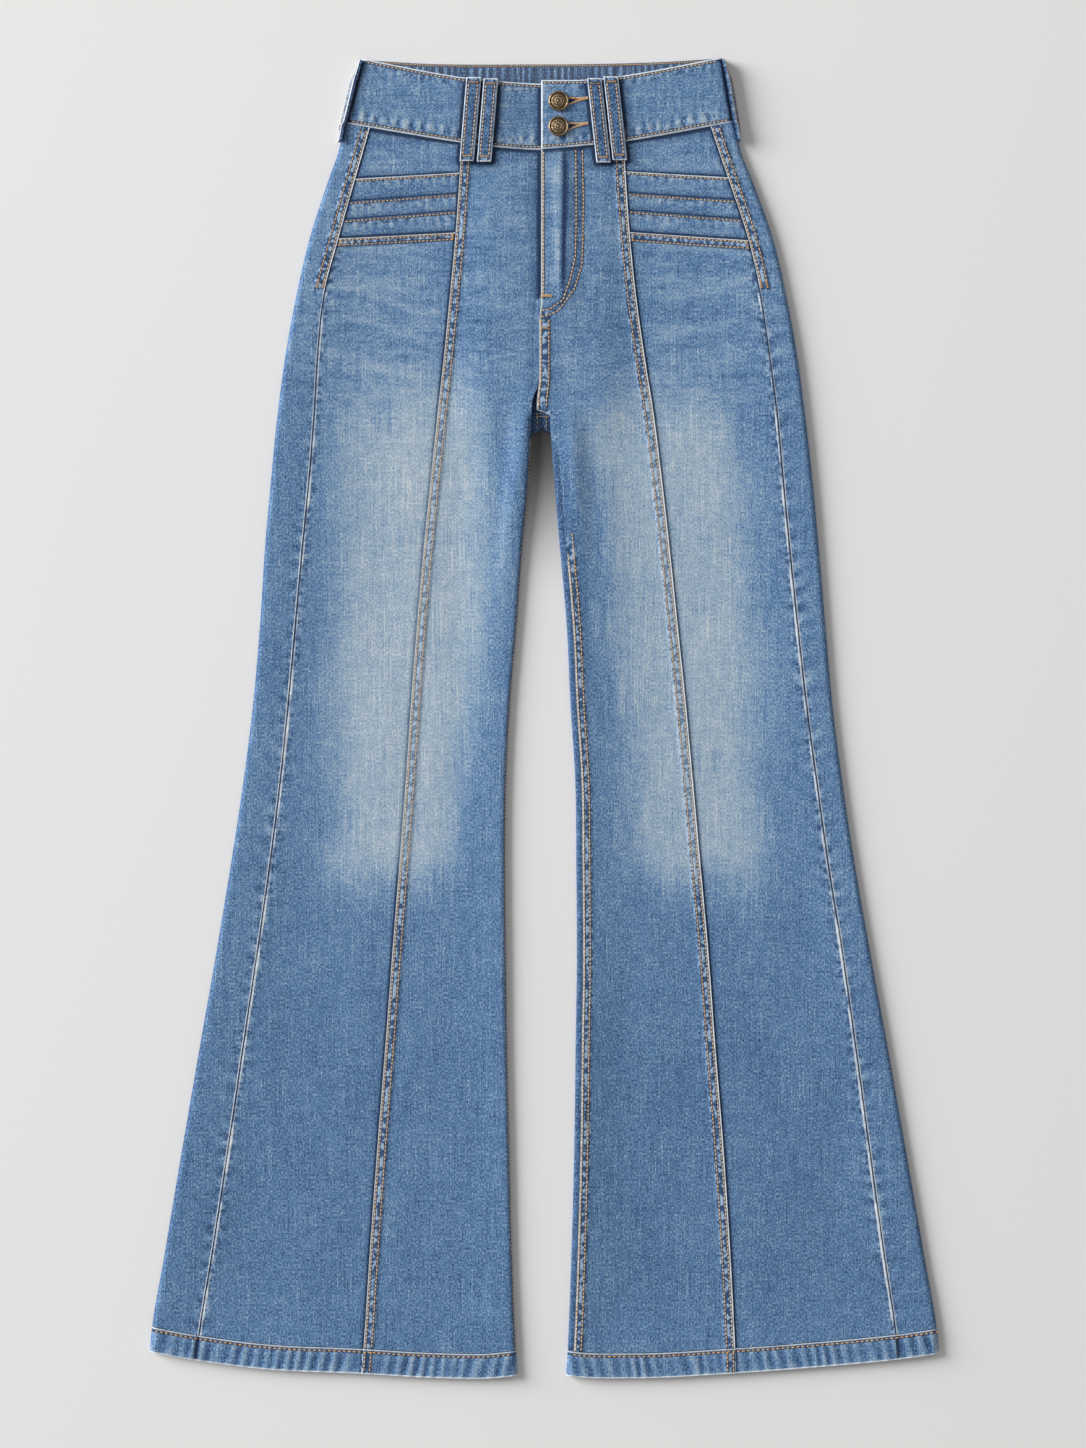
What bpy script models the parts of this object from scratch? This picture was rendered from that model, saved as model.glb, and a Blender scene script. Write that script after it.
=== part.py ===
"""Wide leg jeans laid flat on their back, front up, with the zip and both buttons closed.

The waist points to +Y, the wearer's right to -X, and the floor is Z = 0. Sizes are in millimetres. A place
on the garment is given as "out", the distance from the centre line towards that side, "down", the distance
below the waist's highest point, and "up", the height over the floor. Every panel is a cloth wall: its outer
face is a grid of rows (at levels down the garment) and columns (across it), and its inner face is that grid
moved in by the cloth.
"""

from collections import namedtuple

import bpy
import numpy as np

MM = 0.001
RIGHT, LEFT = -1, 1

# ---------------------------------------------------------------- driving sizes
LENGTH = 1163.2  # waist's highest point to the hem's lowest
CENTRING_OUT = 0.21  # brings the middle of the outline to X = 0
CENTRING_DOWN = 0.22
CLOTH = 1.2  # one layer of denim
DOUBLE = 2.4  # waistband and hems
SEAM_GAP = 0.3
SEAM_RAISE = 0.7  # a double-stitched seam's extra layers
SEAM_WIDTH = 8.5
BETWEEN_LAYERS_UP = 1.6  # between the back, on the floor, and the front
FOLD_RADIUS = 4.5  # how far a folded edge bends back
FOLD_MIDDLE = 0.48  # height of a fold's outermost line, as a share of its top
FOLD_REACH = 46.0  # how far in from a folded edge the front comes down on to the back
INNER_REACH = 34.0  # the same from a leg's inner fold
FLY_REACH = (44.0, 88.0)  # the front comes down between these distances out from the fly
BAND_UP = 7.2  # the front band's top face over the floor
HEM_WIDTH = 22.0
HEM_RAISE = 0.4
WAIST_LEVEL = 58.0
HEM_LEVEL = LENGTH - HEM_WIDTH
CROTCH_DOWN = 309.0
LAP = 1.2  # how much higher the left front lies where it laps over the fly
LAP_DIP = 0.8  # how much lower the right front lies below it
FLY_STITCH_OUT = 34.0  # the curved row of stitches beside the zip
FLY_OPEN_DOWN = 206.0  # the right front stays folded back under the fly down to here
CENTRE_SEAM_DOWN = 226.0  # the centre seam runs from here to the crotch
FRONT_LEG = (312.0, 326.0)  # between these levels the fronts' inner edges become the inseams
BACK_LEG = (324.0, 334.0)  # and between these the back's inner edges bend up round the legs' inner folds
INSEAM_STEP = 1.0  # the left leg's inseam lies this far inside its fold
EXTENSION_OUT = 33.0  # how far the right band runs below the left one
EXTENSION_UP = 5.4
LAP_BAND_UP = 8.1
ZIP_OUT = 14.5
ZIP_RIDGE = 0.9  # the ridge in the left front over the zip
ZIP_RIDGE_WIDTH = 7.0
SHIELD_OUT, SHIELD_DOWN, SHIELD_UP = (3.0, 38.0), (83.0, 205.0), (1.5, 2.7)
TAPE_WIDTH, TAPE_UP, TAPE_DOWN = 27.0, (3.0, 3.6), (98.5, 203.0)
TEETH_WIDTH, TEETH_UP = 5.4, 5.2
SLIDER_WIDTH, SLIDER_SHOULDER_UP, SLIDER_TOP_UP, SLIDER_DOWN = 8.0, 6.2, 6.6, (86.0, 98.2)
BUTTON_OUT = 12.4
BUTTONS_DOWN = {"button_upper": 39.4, "button_lower": 61.6}
BUTTON_RADIUS = 8.85
SHANK_RADIUS = 2.2
BUTTONHOLE_RADIUS = 3.0
LOOP_THICKNESS = 2.0
LOOP_BOW = 1.0  # how far a belt loop's middle stands off the band
SIDE_LOOP_THICKNESS = 2.6
SIDE_LOOP_BOW = 3.4
SIDE_LOOP_HEIGHT = 10.5

# ---------------------------------------------------------------- the pattern
# The outline and seams of each half, read across at each level.
Level = namedtuple("Level", "down fold outseam panel_seam inner")
OUTLINE = {
    RIGHT: (
        Level(57, 175.0, 152.0, 73.6, 11.7),
        Level(85, 182.1, 160.0, 73.9, 11.7),
        Level(110, 191.0, 167.2, 75.2, 11.7),
        Level(160, 207.0, 181.3, 78.7, 11.7),
        Level(210, 218.6, 194.5, 83.4, 11.7),
        Level(260, 227.8, 200.1, 88.3, 11.7),
        Level(315, 235.2, 203.4, 94.3, 11.7),
        Level(370, 240.7, 207.7, 100.1, 13.7),
        Level(430, 246.1, 213.5, 106.2, 19.2),
        Level(500, 250.6, 219.9, 112.4, 24.4),
        Level(570, 256.8, 226.2, 117.7, 30.3),
        Level(640, 265.6, 233.5, 122.5, 33.7),
        Level(710, 276.2, 242.3, 127.9, 34.5),
        Level(790, 289.4, 253.7, 134.2, 33.7),
        Level(870, 303.4, 265.7, 140.2, 32.8),
        Level(960, 318.9, 278.9, 147.3, 30.8),
        Level(1050, 334.0, 292.7, 153.8, 28.6),
        Level(1130, 347.0, 305.3, 159.0, 25.6),
        Level(1165, 347.9, 308.6, 161.6, 23.6),
    ),
    LEFT: (
        Level(57, 166.5, 144.7, 70.4, 5.1),
        Level(85, 173.6, 154.0, 70.6, 5.1),
        Level(110, 183.5, 162.7, 71.9, 5.1),
        Level(160, 201.3, 179.2, 75.5, 5.1),
        Level(210, 212.9, 190.6, 80.7, 5.1),
        Level(260, 222.1, 198.1, 87.7, 5.1),
        Level(315, 229.5, 205.4, 96.4, 5.1),
        Level(370, 235.8, 210.5, 103.3, 8.4),
        Level(430, 241.4, 216.2, 110.1, 13.4),
        Level(500, 247.4, 223.4, 117.4, 19.5),
        Level(570, 253.6, 231.3, 124.7, 22.9),
        Level(640, 262.6, 240.6, 131.1, 27.2),
        Level(710, 273.2, 250.4, 137.4, 28.0),
        Level(790, 287.2, 263.1, 144.6, 28.5),
        Level(870, 302.0, 274.4, 150.5, 27.4),
        Level(960, 317.8, 286.6, 157.7, 26.2),
        Level(1050, 333.5, 299.0, 163.6, 23.8),
        Level(1130, 346.6, 310.5, 167.6, 20.8),
        Level(1165, 347.2, 312.4, 168.8, 18.8),
    ),
}

# The front band's two edges, from the centre front to the side fold.
EdgePoint = namedtuple("EdgePoint", "out down")
BAND_TOP = {
    RIGHT: (EdgePoint(-60, 23.6), EdgePoint(6.4, 23.3), EdgePoint(40.7, 21.4), EdgePoint(69.3, 18.5),
            EdgePoint(160.6, 1.8)),
    LEFT: (EdgePoint(-2.9, 20.6), EdgePoint(36.7, 20.2), EdgePoint(64.9, 17.3), EdgePoint(156.4, 0.6)),
}
WAIST_SEAM = {
    RIGHT: (EdgePoint(-40, 76.5), EdgePoint(5.5, 81.5), EdgePoint(44.2, 79.2), EdgePoint(74.1, 75.3),
            EdgePoint(174.2, 58.7)),
    LEFT: (EdgePoint(-10, 81.4), EdgePoint(1.5, 81.0), EdgePoint(43.8, 77.4), EdgePoint(72.8, 74.1),
           EdgePoint(166.1, 57.4)),
}
# The back band's top edge, from the right side (negative) to the left.
BACK_TOP = (EdgePoint(-161.0, 1.8), EdgePoint(-100.5, 5.3), EdgePoint(0, 5.7), EdgePoint(101.9, 3.7),
            EdgePoint(157.0, 0.4))
BACK_WAIST = {
    RIGHT: (EdgePoint(0, 63.1), EdgePoint(100, 61.6), EdgePoint(174.2, 58.7)),
    LEFT: (EdgePoint(0, 63.1), EdgePoint(100, 61.0), EdgePoint(166.1, 57.4)),
}
# The hem's bottom edge.
HEM_BOTTOM = {
    RIGHT: (EdgePoint(24.0, 1160.4), EdgePoint(58.7, 1163.2), EdgePoint(109.3, 1161.9),
            EdgePoint(160.9, 1158.8), EdgePoint(245.7, 1154.8), EdgePoint(308.6, 1146.5),
            EdgePoint(347.9, 1139.1)),
    LEFT: (EdgePoint(19.5, 1160.4), EdgePoint(40.0, 1162.4), EdgePoint(81.2, 1162.7),
           EdgePoint(162.1, 1158.7), EdgePoint(238.3, 1153.1), EdgePoint(312.4, 1145.9),
           EdgePoint(347.2, 1140.7)),
}
# The edges of the two centre fronts: the fly above, the centre seam below it, then the inseam of each leg.
CENTRE_EDGE = {
    RIGHT: (EdgePoint(-10.0, 60), EdgePoint(-10.0, 206), EdgePoint(3.2, 214), EdgePoint(4.8, 232),
            EdgePoint(4.8, 284), EdgePoint(7.1, 303), EdgePoint(7.4, CROTCH_DOWN), EdgePoint(11.7, 316),
            EdgePoint(11.7, 326)),
    LEFT: (EdgePoint(-2.9, 60), EdgePoint(-2.9, 214), EdgePoint(-4.6, 232), EdgePoint(-4.6, 284),
           EdgePoint(-6.7, 303), EdgePoint(-6.7, CROTCH_DOWN), EdgePoint(7.6, 316), EdgePoint(10.6, 326)),
}
SEAT_SEAM_OUT = {RIGHT: 2.7, LEFT: -2.7}

# The tucks and the pocket mouth: where each line meets the outseam and the panel seam.
CrossLine = namedtuple("CrossLine", "down_outseam down_panel_seam")
TUCKS = {
    RIGHT: (CrossLine(107.4, 101.9), CrossLine(127.8, 120.4), CrossLine(143.9, 135.6)),
    LEFT: (CrossLine(106.2, 100.7), CrossLine(126.5, 119.8), CrossLine(143.3, 135.2)),
}
MOUTH = {  # the pocket mouth's edge, and the lower end of its stitched band
    RIGHT: (CrossLine(159.9, 154.4), CrossLine(167.6, 161.1)),
    LEFT: (CrossLine(161.5, 154.1), CrossLine(170.4, 161.5)),
}
TUCK_RAISE = 1.0
TUCK_STEP = 0.6
MOUTH_RAISE = 0.9

# How high the front lies over the floor: beside a folded edge, and between them, where it rests on the back.
Loft = namedtuple("Loft", "down by_fold between")
LOFT = (
    Loft(57, 6.4, 6.3), Loft(85, 6.5, 5.6), Loft(125, 6.7, 4.4), Loft(210, 6.8, 3.9), Loft(315, 7.0, 4.1),
    Loft(400, 6.6, 3.5), Loft(700, 5.9, 3.1), Loft(1060, 5.9, 3.1), Loft(1110, 6.4, 4.0), Loft(1135, 6.6, 5.5),
    Loft(1165, 6.6, 5.7),
)
# The large soft folds that run from the crotch.
Crease = namedtuple("Crease", "side out_from down_from out_to down_to half_width height")
CREASES = (
    Crease(RIGHT, 14, 300, 42, 520, 10, 3.0),
    Crease(RIGHT, 46, 330, 62, 470, 12, 1.0),
    Crease(LEFT, 24, 320, 36, 500, 10, 2.4),
    Crease(LEFT, 52, 350, 66, 560, 14, 1.0),
)
SEAT_RISE = 1.6  # the seat seam is drawn up towards the crotch

# Each front belt loop's two ends: how far out their corners lie, and how far down their middles.
LoopPlace = namedtuple(
    "LoopPlace", "name side top_inner top_outer top_down bottom_inner bottom_outer bottom_down"
)
LOOPS = (
    LoopPlace("belt_loop_1", RIGHT, 55.6, 68.6, 18.4, 62.2, 74.6, 92.1),
    LoopPlace("belt_loop_2", RIGHT, 40.7, 53.4, 19.6, 46.8, 59.4, 92.7),
    LoopPlace("belt_loop_3", LEFT, 37.4, 50.0, 19.5, 45.7, 58.2, 93.4),
    LoopPlace("belt_loop_4", LEFT, 51.9, 64.7, 17.9, 60.0, 72.6, 91.3),
)
SIDE_LOOP_DOWNS = {RIGHT: (3.2, 74.0), LEFT: (2.2, 73.0)}

ROW_LEVELS = np.array([
    WAIST_LEVEL, 84, 110, 135, 160, 185, 203, 214, 228, 252, 284, 303, CROTCH_DOWN, 316, 325, 333, 345,
    370, 430, 500, 570, 640, 710, 790, 870, 960, 1050, HEM_LEVEL,
])
FIRST_SIDE_ROW = 5  # the side front's rows start below the pocket mouth
FLOOR_SHARES = (0.2, 0.4, 0.6, 0.8)  # columns over the floor, from the outer fold to the inner one
SIDE_SHARES = (0.25, 0.5, 0.75)  # a side front's inner columns, from the panel seam out
CENTRE_SHARES = {  # a centre front's columns, from its seam strip to its inner edge
    RIGHT: (0.25, 0.5, 0.72, 0.9, 1.0),
    LEFT: (0.25, 0.5, 0.62, 0.72, 0.82, 0.93, 1.0),
}
STRIP_SIDE = 0.8  # the slope at a seam strip's inner side

# ---------------------------------------------------------------- colours
DENIM = (0.118, 0.241, 0.445, 1.0)
DENIM_INSIDE = (0.290, 0.360, 0.430, 1.0)
BRASS = (0.250, 0.180, 0.110, 1.0)
ZIP_TAPE = (0.060, 0.110, 0.200, 1.0)


# ---------------------------------------------------------------- curves
def smooth_step(low, high, at):
    """0 below low, 1 above high, and a smooth rise between them."""
    share = np.clip((at - low) / (high - low), 0.0, 1.0)
    return share * share * (3.0 - 2.0 * share)


def through(xs, ys, at):
    """A smooth curve through the points, which never overshoots them (a monotone cubic)."""
    xs, ys, at = np.asarray(xs, float), np.asarray(ys, float), np.asarray(at, float)
    step = np.diff(xs)
    slope = np.diff(ys) / step
    tangent = np.concatenate([slope[:1], (slope[:-1] + slope[1:]) / 2, slope[-1:]])
    turning = np.concatenate([[False], slope[:-1] * slope[1:] <= 0, [False]])
    tangent[turning] = 0.0
    at = np.clip(at, xs[0], xs[-1])
    k = np.clip(np.searchsorted(xs, at) - 1, 0, len(step) - 1)
    t = (at - xs[k]) / step[k]
    return (
        ys[k] * (1 + 2 * t) * (1 - t) ** 2
        + step[k] * tangent[k] * t * (1 - t) ** 2
        + ys[k + 1] * t * t * (3 - 2 * t)
        + step[k] * tangent[k + 1] * t * t * (t - 1)
    )


def outline(side, column, down):
    """How far out the outline's named column lies, at a distance down."""
    rows = OUTLINE[side]
    return through([r.down for r in rows], [getattr(r, column) for r in rows], down)


def edge_down(points, out):
    """How far down an edge that runs across the garment lies, at a distance out."""
    return through([p.out for p in points], [p.down for p in points], out)


def edge_out(points, down):
    """How far out an edge that runs down the garment lies. It is straight between its points."""
    return np.interp(down, [p.down for p in points], [p.out for p in points])


# ---------------------------------------------------------------- heights
def creases_up(side, out, down):
    """The soft folds: each is a ridge along a line, highest at the crotch and dying out along the leg."""
    up = np.zeros(np.broadcast(out, down).shape)
    for c in CREASES:
        if c.side != side:
            continue
        run = np.array([c.out_to - c.out_from, c.down_to - c.down_from], float)
        length = np.hypot(*run)
        along = ((out - c.out_from) * run[0] + (down - c.down_from) * run[1]) / length**2
        across = ((out - c.out_from) * run[1] - (down - c.down_from) * run[0]) / length
        fade = smooth_step(-0.15, 0.15, along) * (1 - smooth_step(0.2, 1.0, along))
        up = up + c.height * fade * np.exp(-((across / c.half_width) ** 2))
    return up


def fly_up(side, out, down):
    """The left front lies higher over the fly, with a ridge over the zip; the right front dips below it."""
    if side == RIGHT:
        by_edge = 1 - smooth_step(4, 30, out)
        return -LAP_DIP * by_edge * (1 - smooth_step(FLY_OPEN_DOWN, CENTRE_SEAM_DOWN, down))
    lap = LAP * (1 - smooth_step(20, FLY_STITCH_OUT + 3, out)) * (1 - 0.9 * smooth_step(214, 242, down))
    ridge = ZIP_RIDGE * np.exp(-(((out - ZIP_OUT) / ZIP_RIDGE_WIDTH) ** 2))
    ridge = ridge * (1 - smooth_step(196, 214, down))
    return lap + ridge


def laid(side, out, down):
    """0 beside a folded edge and over the fly, and 1 between them, where the front rests on the back."""
    leg = smooth_step(CROTCH_DOWN, 360, down)
    off_fold = 1 - np.exp(-(((outline(side, "fold", down) - out) / FOLD_REACH) ** 2))
    off_inner = 1 - leg * np.exp(-(((out - outline(side, "inner", down)) / INNER_REACH) ** 2))
    off_fly = 1 - (1 - leg) * (1 - smooth_step(*FLY_REACH, out))
    return off_fold * off_inner * off_fly


def front_up(side, out, down):
    """The height of the front's outer face, without its seams."""
    by_fold = through([r.down for r in LOFT], [r.by_fold for r in LOFT], down)
    between = through([r.down for r in LOFT], [r.between for r in LOFT], down)
    up = by_fold - (by_fold - between) * laid(side, out, down)
    return up + creases_up(side, out, down) + fly_up(side, out, down)


def band_up(side, out):
    """The height of the front band's outer face: the right half dips below the left one at the centre."""
    if side == RIGHT:
        return BAND_UP - (BAND_UP - EXTENSION_UP) * (1 - smooth_step(3, 38, out))
    return BAND_UP + (LAP_BAND_UP - BAND_UP) * (1 - smooth_step(40, 56, out))


# ---------------------------------------------------------------- rows and columns
def bend(side, out, level, back=False):
    """How far a row bends off its level: with the waist seam at the top, and with the hem at the bottom."""
    waist = edge_down(BACK_WAIST[side], out) if back else edge_down(WAIST_SEAM[side], out)
    top = (waist + SEAM_GAP - WAIST_LEVEL) * (1 - smooth_step(WAIST_LEVEL, WAIST_LEVEL + 190, level))
    hem = edge_down(HEM_BOTTOM[side], out) - LENGTH - SEAM_GAP
    return top + hem * smooth_step(HEM_LEVEL - 260, HEM_LEVEL, level)


def column(side, levels, place, back=False):
    """A column's out and down: place(down) says how far out it lies, and its rows bend with what is there."""
    down = levels
    for _ in range(4):
        out = place(down)
        down = levels + bend(side, out, levels, back)
    return place(down), down


def place_of(side, out, down, up):
    """Points in metres. The right half is on the -X side."""
    x = side * out + CENTRING_OUT
    y = LENGTH / 2 - down + CENTRING_DOWN
    return np.stack(np.broadcast_arrays(x, y, up), axis=-1) * MM


def bent_in(turn):
    """How far in from its outermost line a folded edge lies at a turn."""
    return FOLD_RADIUS * (1 - np.cos(np.radians(turn)))


def fold_up(top, turn):
    """The height on a folded edge: turn is 90 on top, 0 on its outermost line and -90 on the floor."""
    middle = FOLD_MIDDLE * top
    reach = top - middle if turn > 0 else middle
    return middle + reach * np.sin(np.radians(turn))


def seat_up(side, out, down):
    """The seat seam is drawn up off the floor just above the crotch."""
    near = np.exp(-((out / 16.0) ** 2))
    return SEAT_RISE * near * smooth_step(262, 300, down) * (1 - smooth_step(312, 330, down))


def grid_of(columns):
    """Columns of points side by side: rows, then columns, then X, Y and Z."""
    return np.stack(columns, axis=1)


# ---------------------------------------------------------------- solids
def material(name, colour, roughness=0.9, metallic=0.0):
    made = bpy.data.materials.new(name)
    made.use_nodes = True
    shader = made.node_tree.nodes["Principled BSDF"]
    shader.inputs["Base Color"].default_value = colour
    shader.inputs["Roughness"].default_value = roughness
    shader.inputs["Metallic"].default_value = metallic
    made.diffuse_color = colour
    return made


def solid(name, points, faces, colour, roughness=0.9, metallic=0.0):
    """An object from points and faces. Its faces are turned outwards."""
    triangles = np.array([(f[0], f[k], f[k + 1]) for f in faces for k in range(1, len(f) - 1)])
    corners = points[triangles] - points.mean(axis=0)
    if np.linalg.det(corners).sum() < 0:
        faces = [f[::-1] for f in faces]
    mesh = bpy.data.meshes.new(name)
    mesh.from_pydata(points.tolist(), [], [list(map(int, f)) for f in faces])
    mesh.materials.append(material(name, colour, roughness, metallic))
    made = bpy.data.objects.new(name, mesh)
    bpy.context.scene.collection.objects.link(made)
    return made


def outward(grid, closed=False, standing=False):
    """The unit normals of a cloth grid, away from the space between the layers, or from X = 0 if it stands."""
    if closed:
        wrapped = np.concatenate([grid[:, -1:], grid, grid[:, :1]], axis=1)
        across = np.gradient(wrapped, axis=1)[:, 1:-1]
    else:
        across = np.gradient(grid, axis=1, edge_order=2)
    along = np.gradient(grid, axis=0)
    normals = np.cross(across, along)
    normals /= np.linalg.norm(normals, axis=2, keepdims=True)
    if standing:
        faces_out = np.sum(normals[..., 0] * grid[..., 0])
    else:
        faces_out = np.sum(normals[..., 2] * (grid[..., 2] - BETWEEN_LAYERS_UP * MM))
    return normals if faces_out > 0 else -normals


def wall(name, grid, thickness, colour=DENIM, raised=0.0, closed=False, standing=False):
    """A cloth wall: its inner face is the grid moved in, and seams are raised in its outer face alone."""
    normals = outward(grid, closed, standing)
    raised = np.broadcast_to(raised, grid.shape[:2])[..., None] * MM
    outer = grid + normals * raised
    inner = grid - normals * thickness * MM
    rows, columns = grid.shape[:2]
    index = np.arange(rows * columns).reshape(rows, columns)
    if closed:
        index = np.concatenate([index, index[:, :1]], axis=1)
    back = index + rows * columns
    faces = []
    for face, turn in ((index, 1), (back, -1)):
        quads = np.stack([face[:-1, :-1], face[1:, :-1], face[1:, 1:], face[:-1, 1:]], axis=-1)
        faces += quads.reshape(-1, 4)[:, ::turn].tolist()
    rims = [(index[0, ::-1], back[0, ::-1]), (index[-1], back[-1])]
    if not closed:
        rims += [(index[:, 0], back[:, 0]), (index[::-1, -1], back[::-1, -1])]
    for near, far in rims:
        faces += np.stack([near[:-1], far[:-1], far[1:], near[1:]], axis=-1).tolist()
    points = np.concatenate([outer.reshape(-1, 3), inner.reshape(-1, 3)])
    return solid(name, points, faces, colour)


# ---------------------------------------------------------------- panels
def side_name(stem, side):
    return f"{stem}_{'r' if side == RIGHT else 'l'}"


def centre_front(side):
    """From the panel seam to the fly, the centre seam and the inseam, with a double-stitched strip by the seam.

    Below the crotch the right one's inner columns bend round the leg's inner fold to the inseam at its edge.
    The left one ends short of the fold, because its inseam lies on the front.
    """
    turn_in = FOLD_RADIUS if side == RIGHT else 0.0
    inseam_in = 0.0 if side == RIGHT else FOLD_RADIUS + INSEAM_STEP

    def seam(down):
        return outline(side, "panel_seam", down) - SEAM_GAP / 2

    def edge(down):
        leg_edge = outline(side, "inner", down) + inseam_in
        return np.where(down < FRONT_LEG[1], edge_out(CENTRE_EDGE[side], down), leg_edge)

    def leg(down):
        return smooth_step(*FRONT_LEG, down)

    columns, raised = [], []
    strip = ((0.0, SEAM_RAISE), (SEAM_WIDTH, SEAM_RAISE), (SEAM_WIDTH + STRIP_SIDE, 0.0))
    for inset, lift in strip:
        out, down = column(side, ROW_LEVELS, lambda d, i=inset: seam(d) - i)
        columns.append(place_of(side, out, down, front_up(side, out, down)))
        raised.append(np.full(len(down), lift))
    for share in CENTRE_SHARES[side]:
        out, down = column(
            side, ROW_LEVELS, lambda d, s=share: (seam(d) - strip[-1][0]) * (1 - s) + (edge(d) + turn_in) * s
        )
        columns.append(place_of(side, out, down, front_up(side, out, down)))
        on_centre_seam = smooth_step(CENTRE_SEAM_DOWN, CENTRE_SEAM_DOWN + 10, down)
        on_centre_seam = on_centre_seam * (1 - smooth_step(CROTCH_DOWN - 9, CROTCH_DOWN + 7, down))
        raised.append(SEAM_RAISE * on_centre_seam * (side == LEFT and share == 1.0))
    for turn in (60, 30, 3) if side == RIGHT else ():
        flat, bent = turn_in * turn / 90, bent_in(turn)
        out, down = column(side, ROW_LEVELS, lambda d, f=flat, b=bent: edge(d) + f + (b - f) * leg(d))
        top = front_up(side, edge(down) + turn_in, down)
        up = front_up(side, out, down) * (1 - leg(down)) + fold_up(top, turn) * leg(down)
        columns.append(place_of(side, out, down, up))
        raised.append(np.zeros(len(down)))
    return wall(side_name("centre_front", side), grid_of(columns), CLOTH, raised=np.stack(raised, axis=1))


def side_front(side):
    """From the pocket mouth down, between the panel seam and the outseam."""
    levels = ROW_LEVELS[FIRST_SIDE_ROW:]

    def across(share):
        def place(down):
            near = outline(side, "panel_seam", down) + SEAM_GAP / 2
            far = outline(side, "outseam", down) - SEAM_GAP / 2
            return near + (far - near) * share

        return place

    columns = []
    for share in (0.0, *SIDE_SHARES, 1.0):
        out, down = column(side, levels, across(share))
        top_out, top_down = on_line(side, MOUTH[side][1], share, SEAM_GAP / 2)
        out = np.concatenate([[top_out], out])
        down = np.concatenate([[top_down], down])
        columns.append(place_of(side, out, down, front_up(side, out, down)))
    return wall(side_name("side_front", side), grid_of(columns), CLOTH)


def on_line(side, line, share, below=0.0):
    """Out and down on a line across the side front, a share of the way from the panel seam to the outseam."""
    near_down, far_down = line.down_panel_seam + below, line.down_outseam + below
    near = outline(side, "panel_seam", near_down) + SEAM_GAP / 2
    far = outline(side, "outseam", far_down) - SEAM_GAP
    return near + (far - near) * share, near_down + (far_down - near_down) * share


def across_strip(side, name, rows, shares=(0.0, 0.2, 0.4, 0.6, 0.8, 1.0)):
    """A piece between the panel seam and the outseam. Each row is (line, how far below it, how far raised)."""
    columns = []
    for share in shares:
        out, down = np.array([on_line(side, line, share, below) for line, below, _ in rows]).T
        columns.append(place_of(side, out, down, front_up(side, out, down)))
    raised = np.repeat(np.array([[r[2]] for r in rows], float), len(shares), axis=1)
    return wall(side_name(name, side), grid_of(columns), CLOTH, raised=raised)


def hip_panel(side):
    """Between the waist seam and the pocket mouth. Each tuck steps up at its folded edge, then slopes down."""
    near = outline(side, "panel_seam", WAIST_LEVEL)
    far = outline(side, "outseam", WAIST_LEVEL)
    waist = CrossLine(edge_down(WAIST_SEAM[side], far), edge_down(WAIST_SEAM[side], near))
    halfway = CrossLine(*(np.add(waist, TUCKS[side][0]) / 2))
    rows = [(waist, 1.5 * SEAM_GAP, 0.0), (halfway, 0.0, 0.0)]
    for tuck in TUCKS[side]:
        rows += [(tuck, -TUCK_STEP, 0.0), (tuck, 0.0, TUCK_RAISE)]
    rows.append((MOUTH[side][0], -SEAM_GAP, 0.0))
    return across_strip(side, "hip_panel", rows)


def pocket_mouth(side):
    """The double-stitched band along the pocket's mouth."""
    edge, end = MOUTH[side]
    rows = [(edge, 0.0, MOUTH_RAISE), (end, -SEAM_GAP / 2 - 1.2, MOUTH_RAISE), (end, -SEAM_GAP / 2, 0.3)]
    return across_strip(side, "pocket_mouth", rows)


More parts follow.
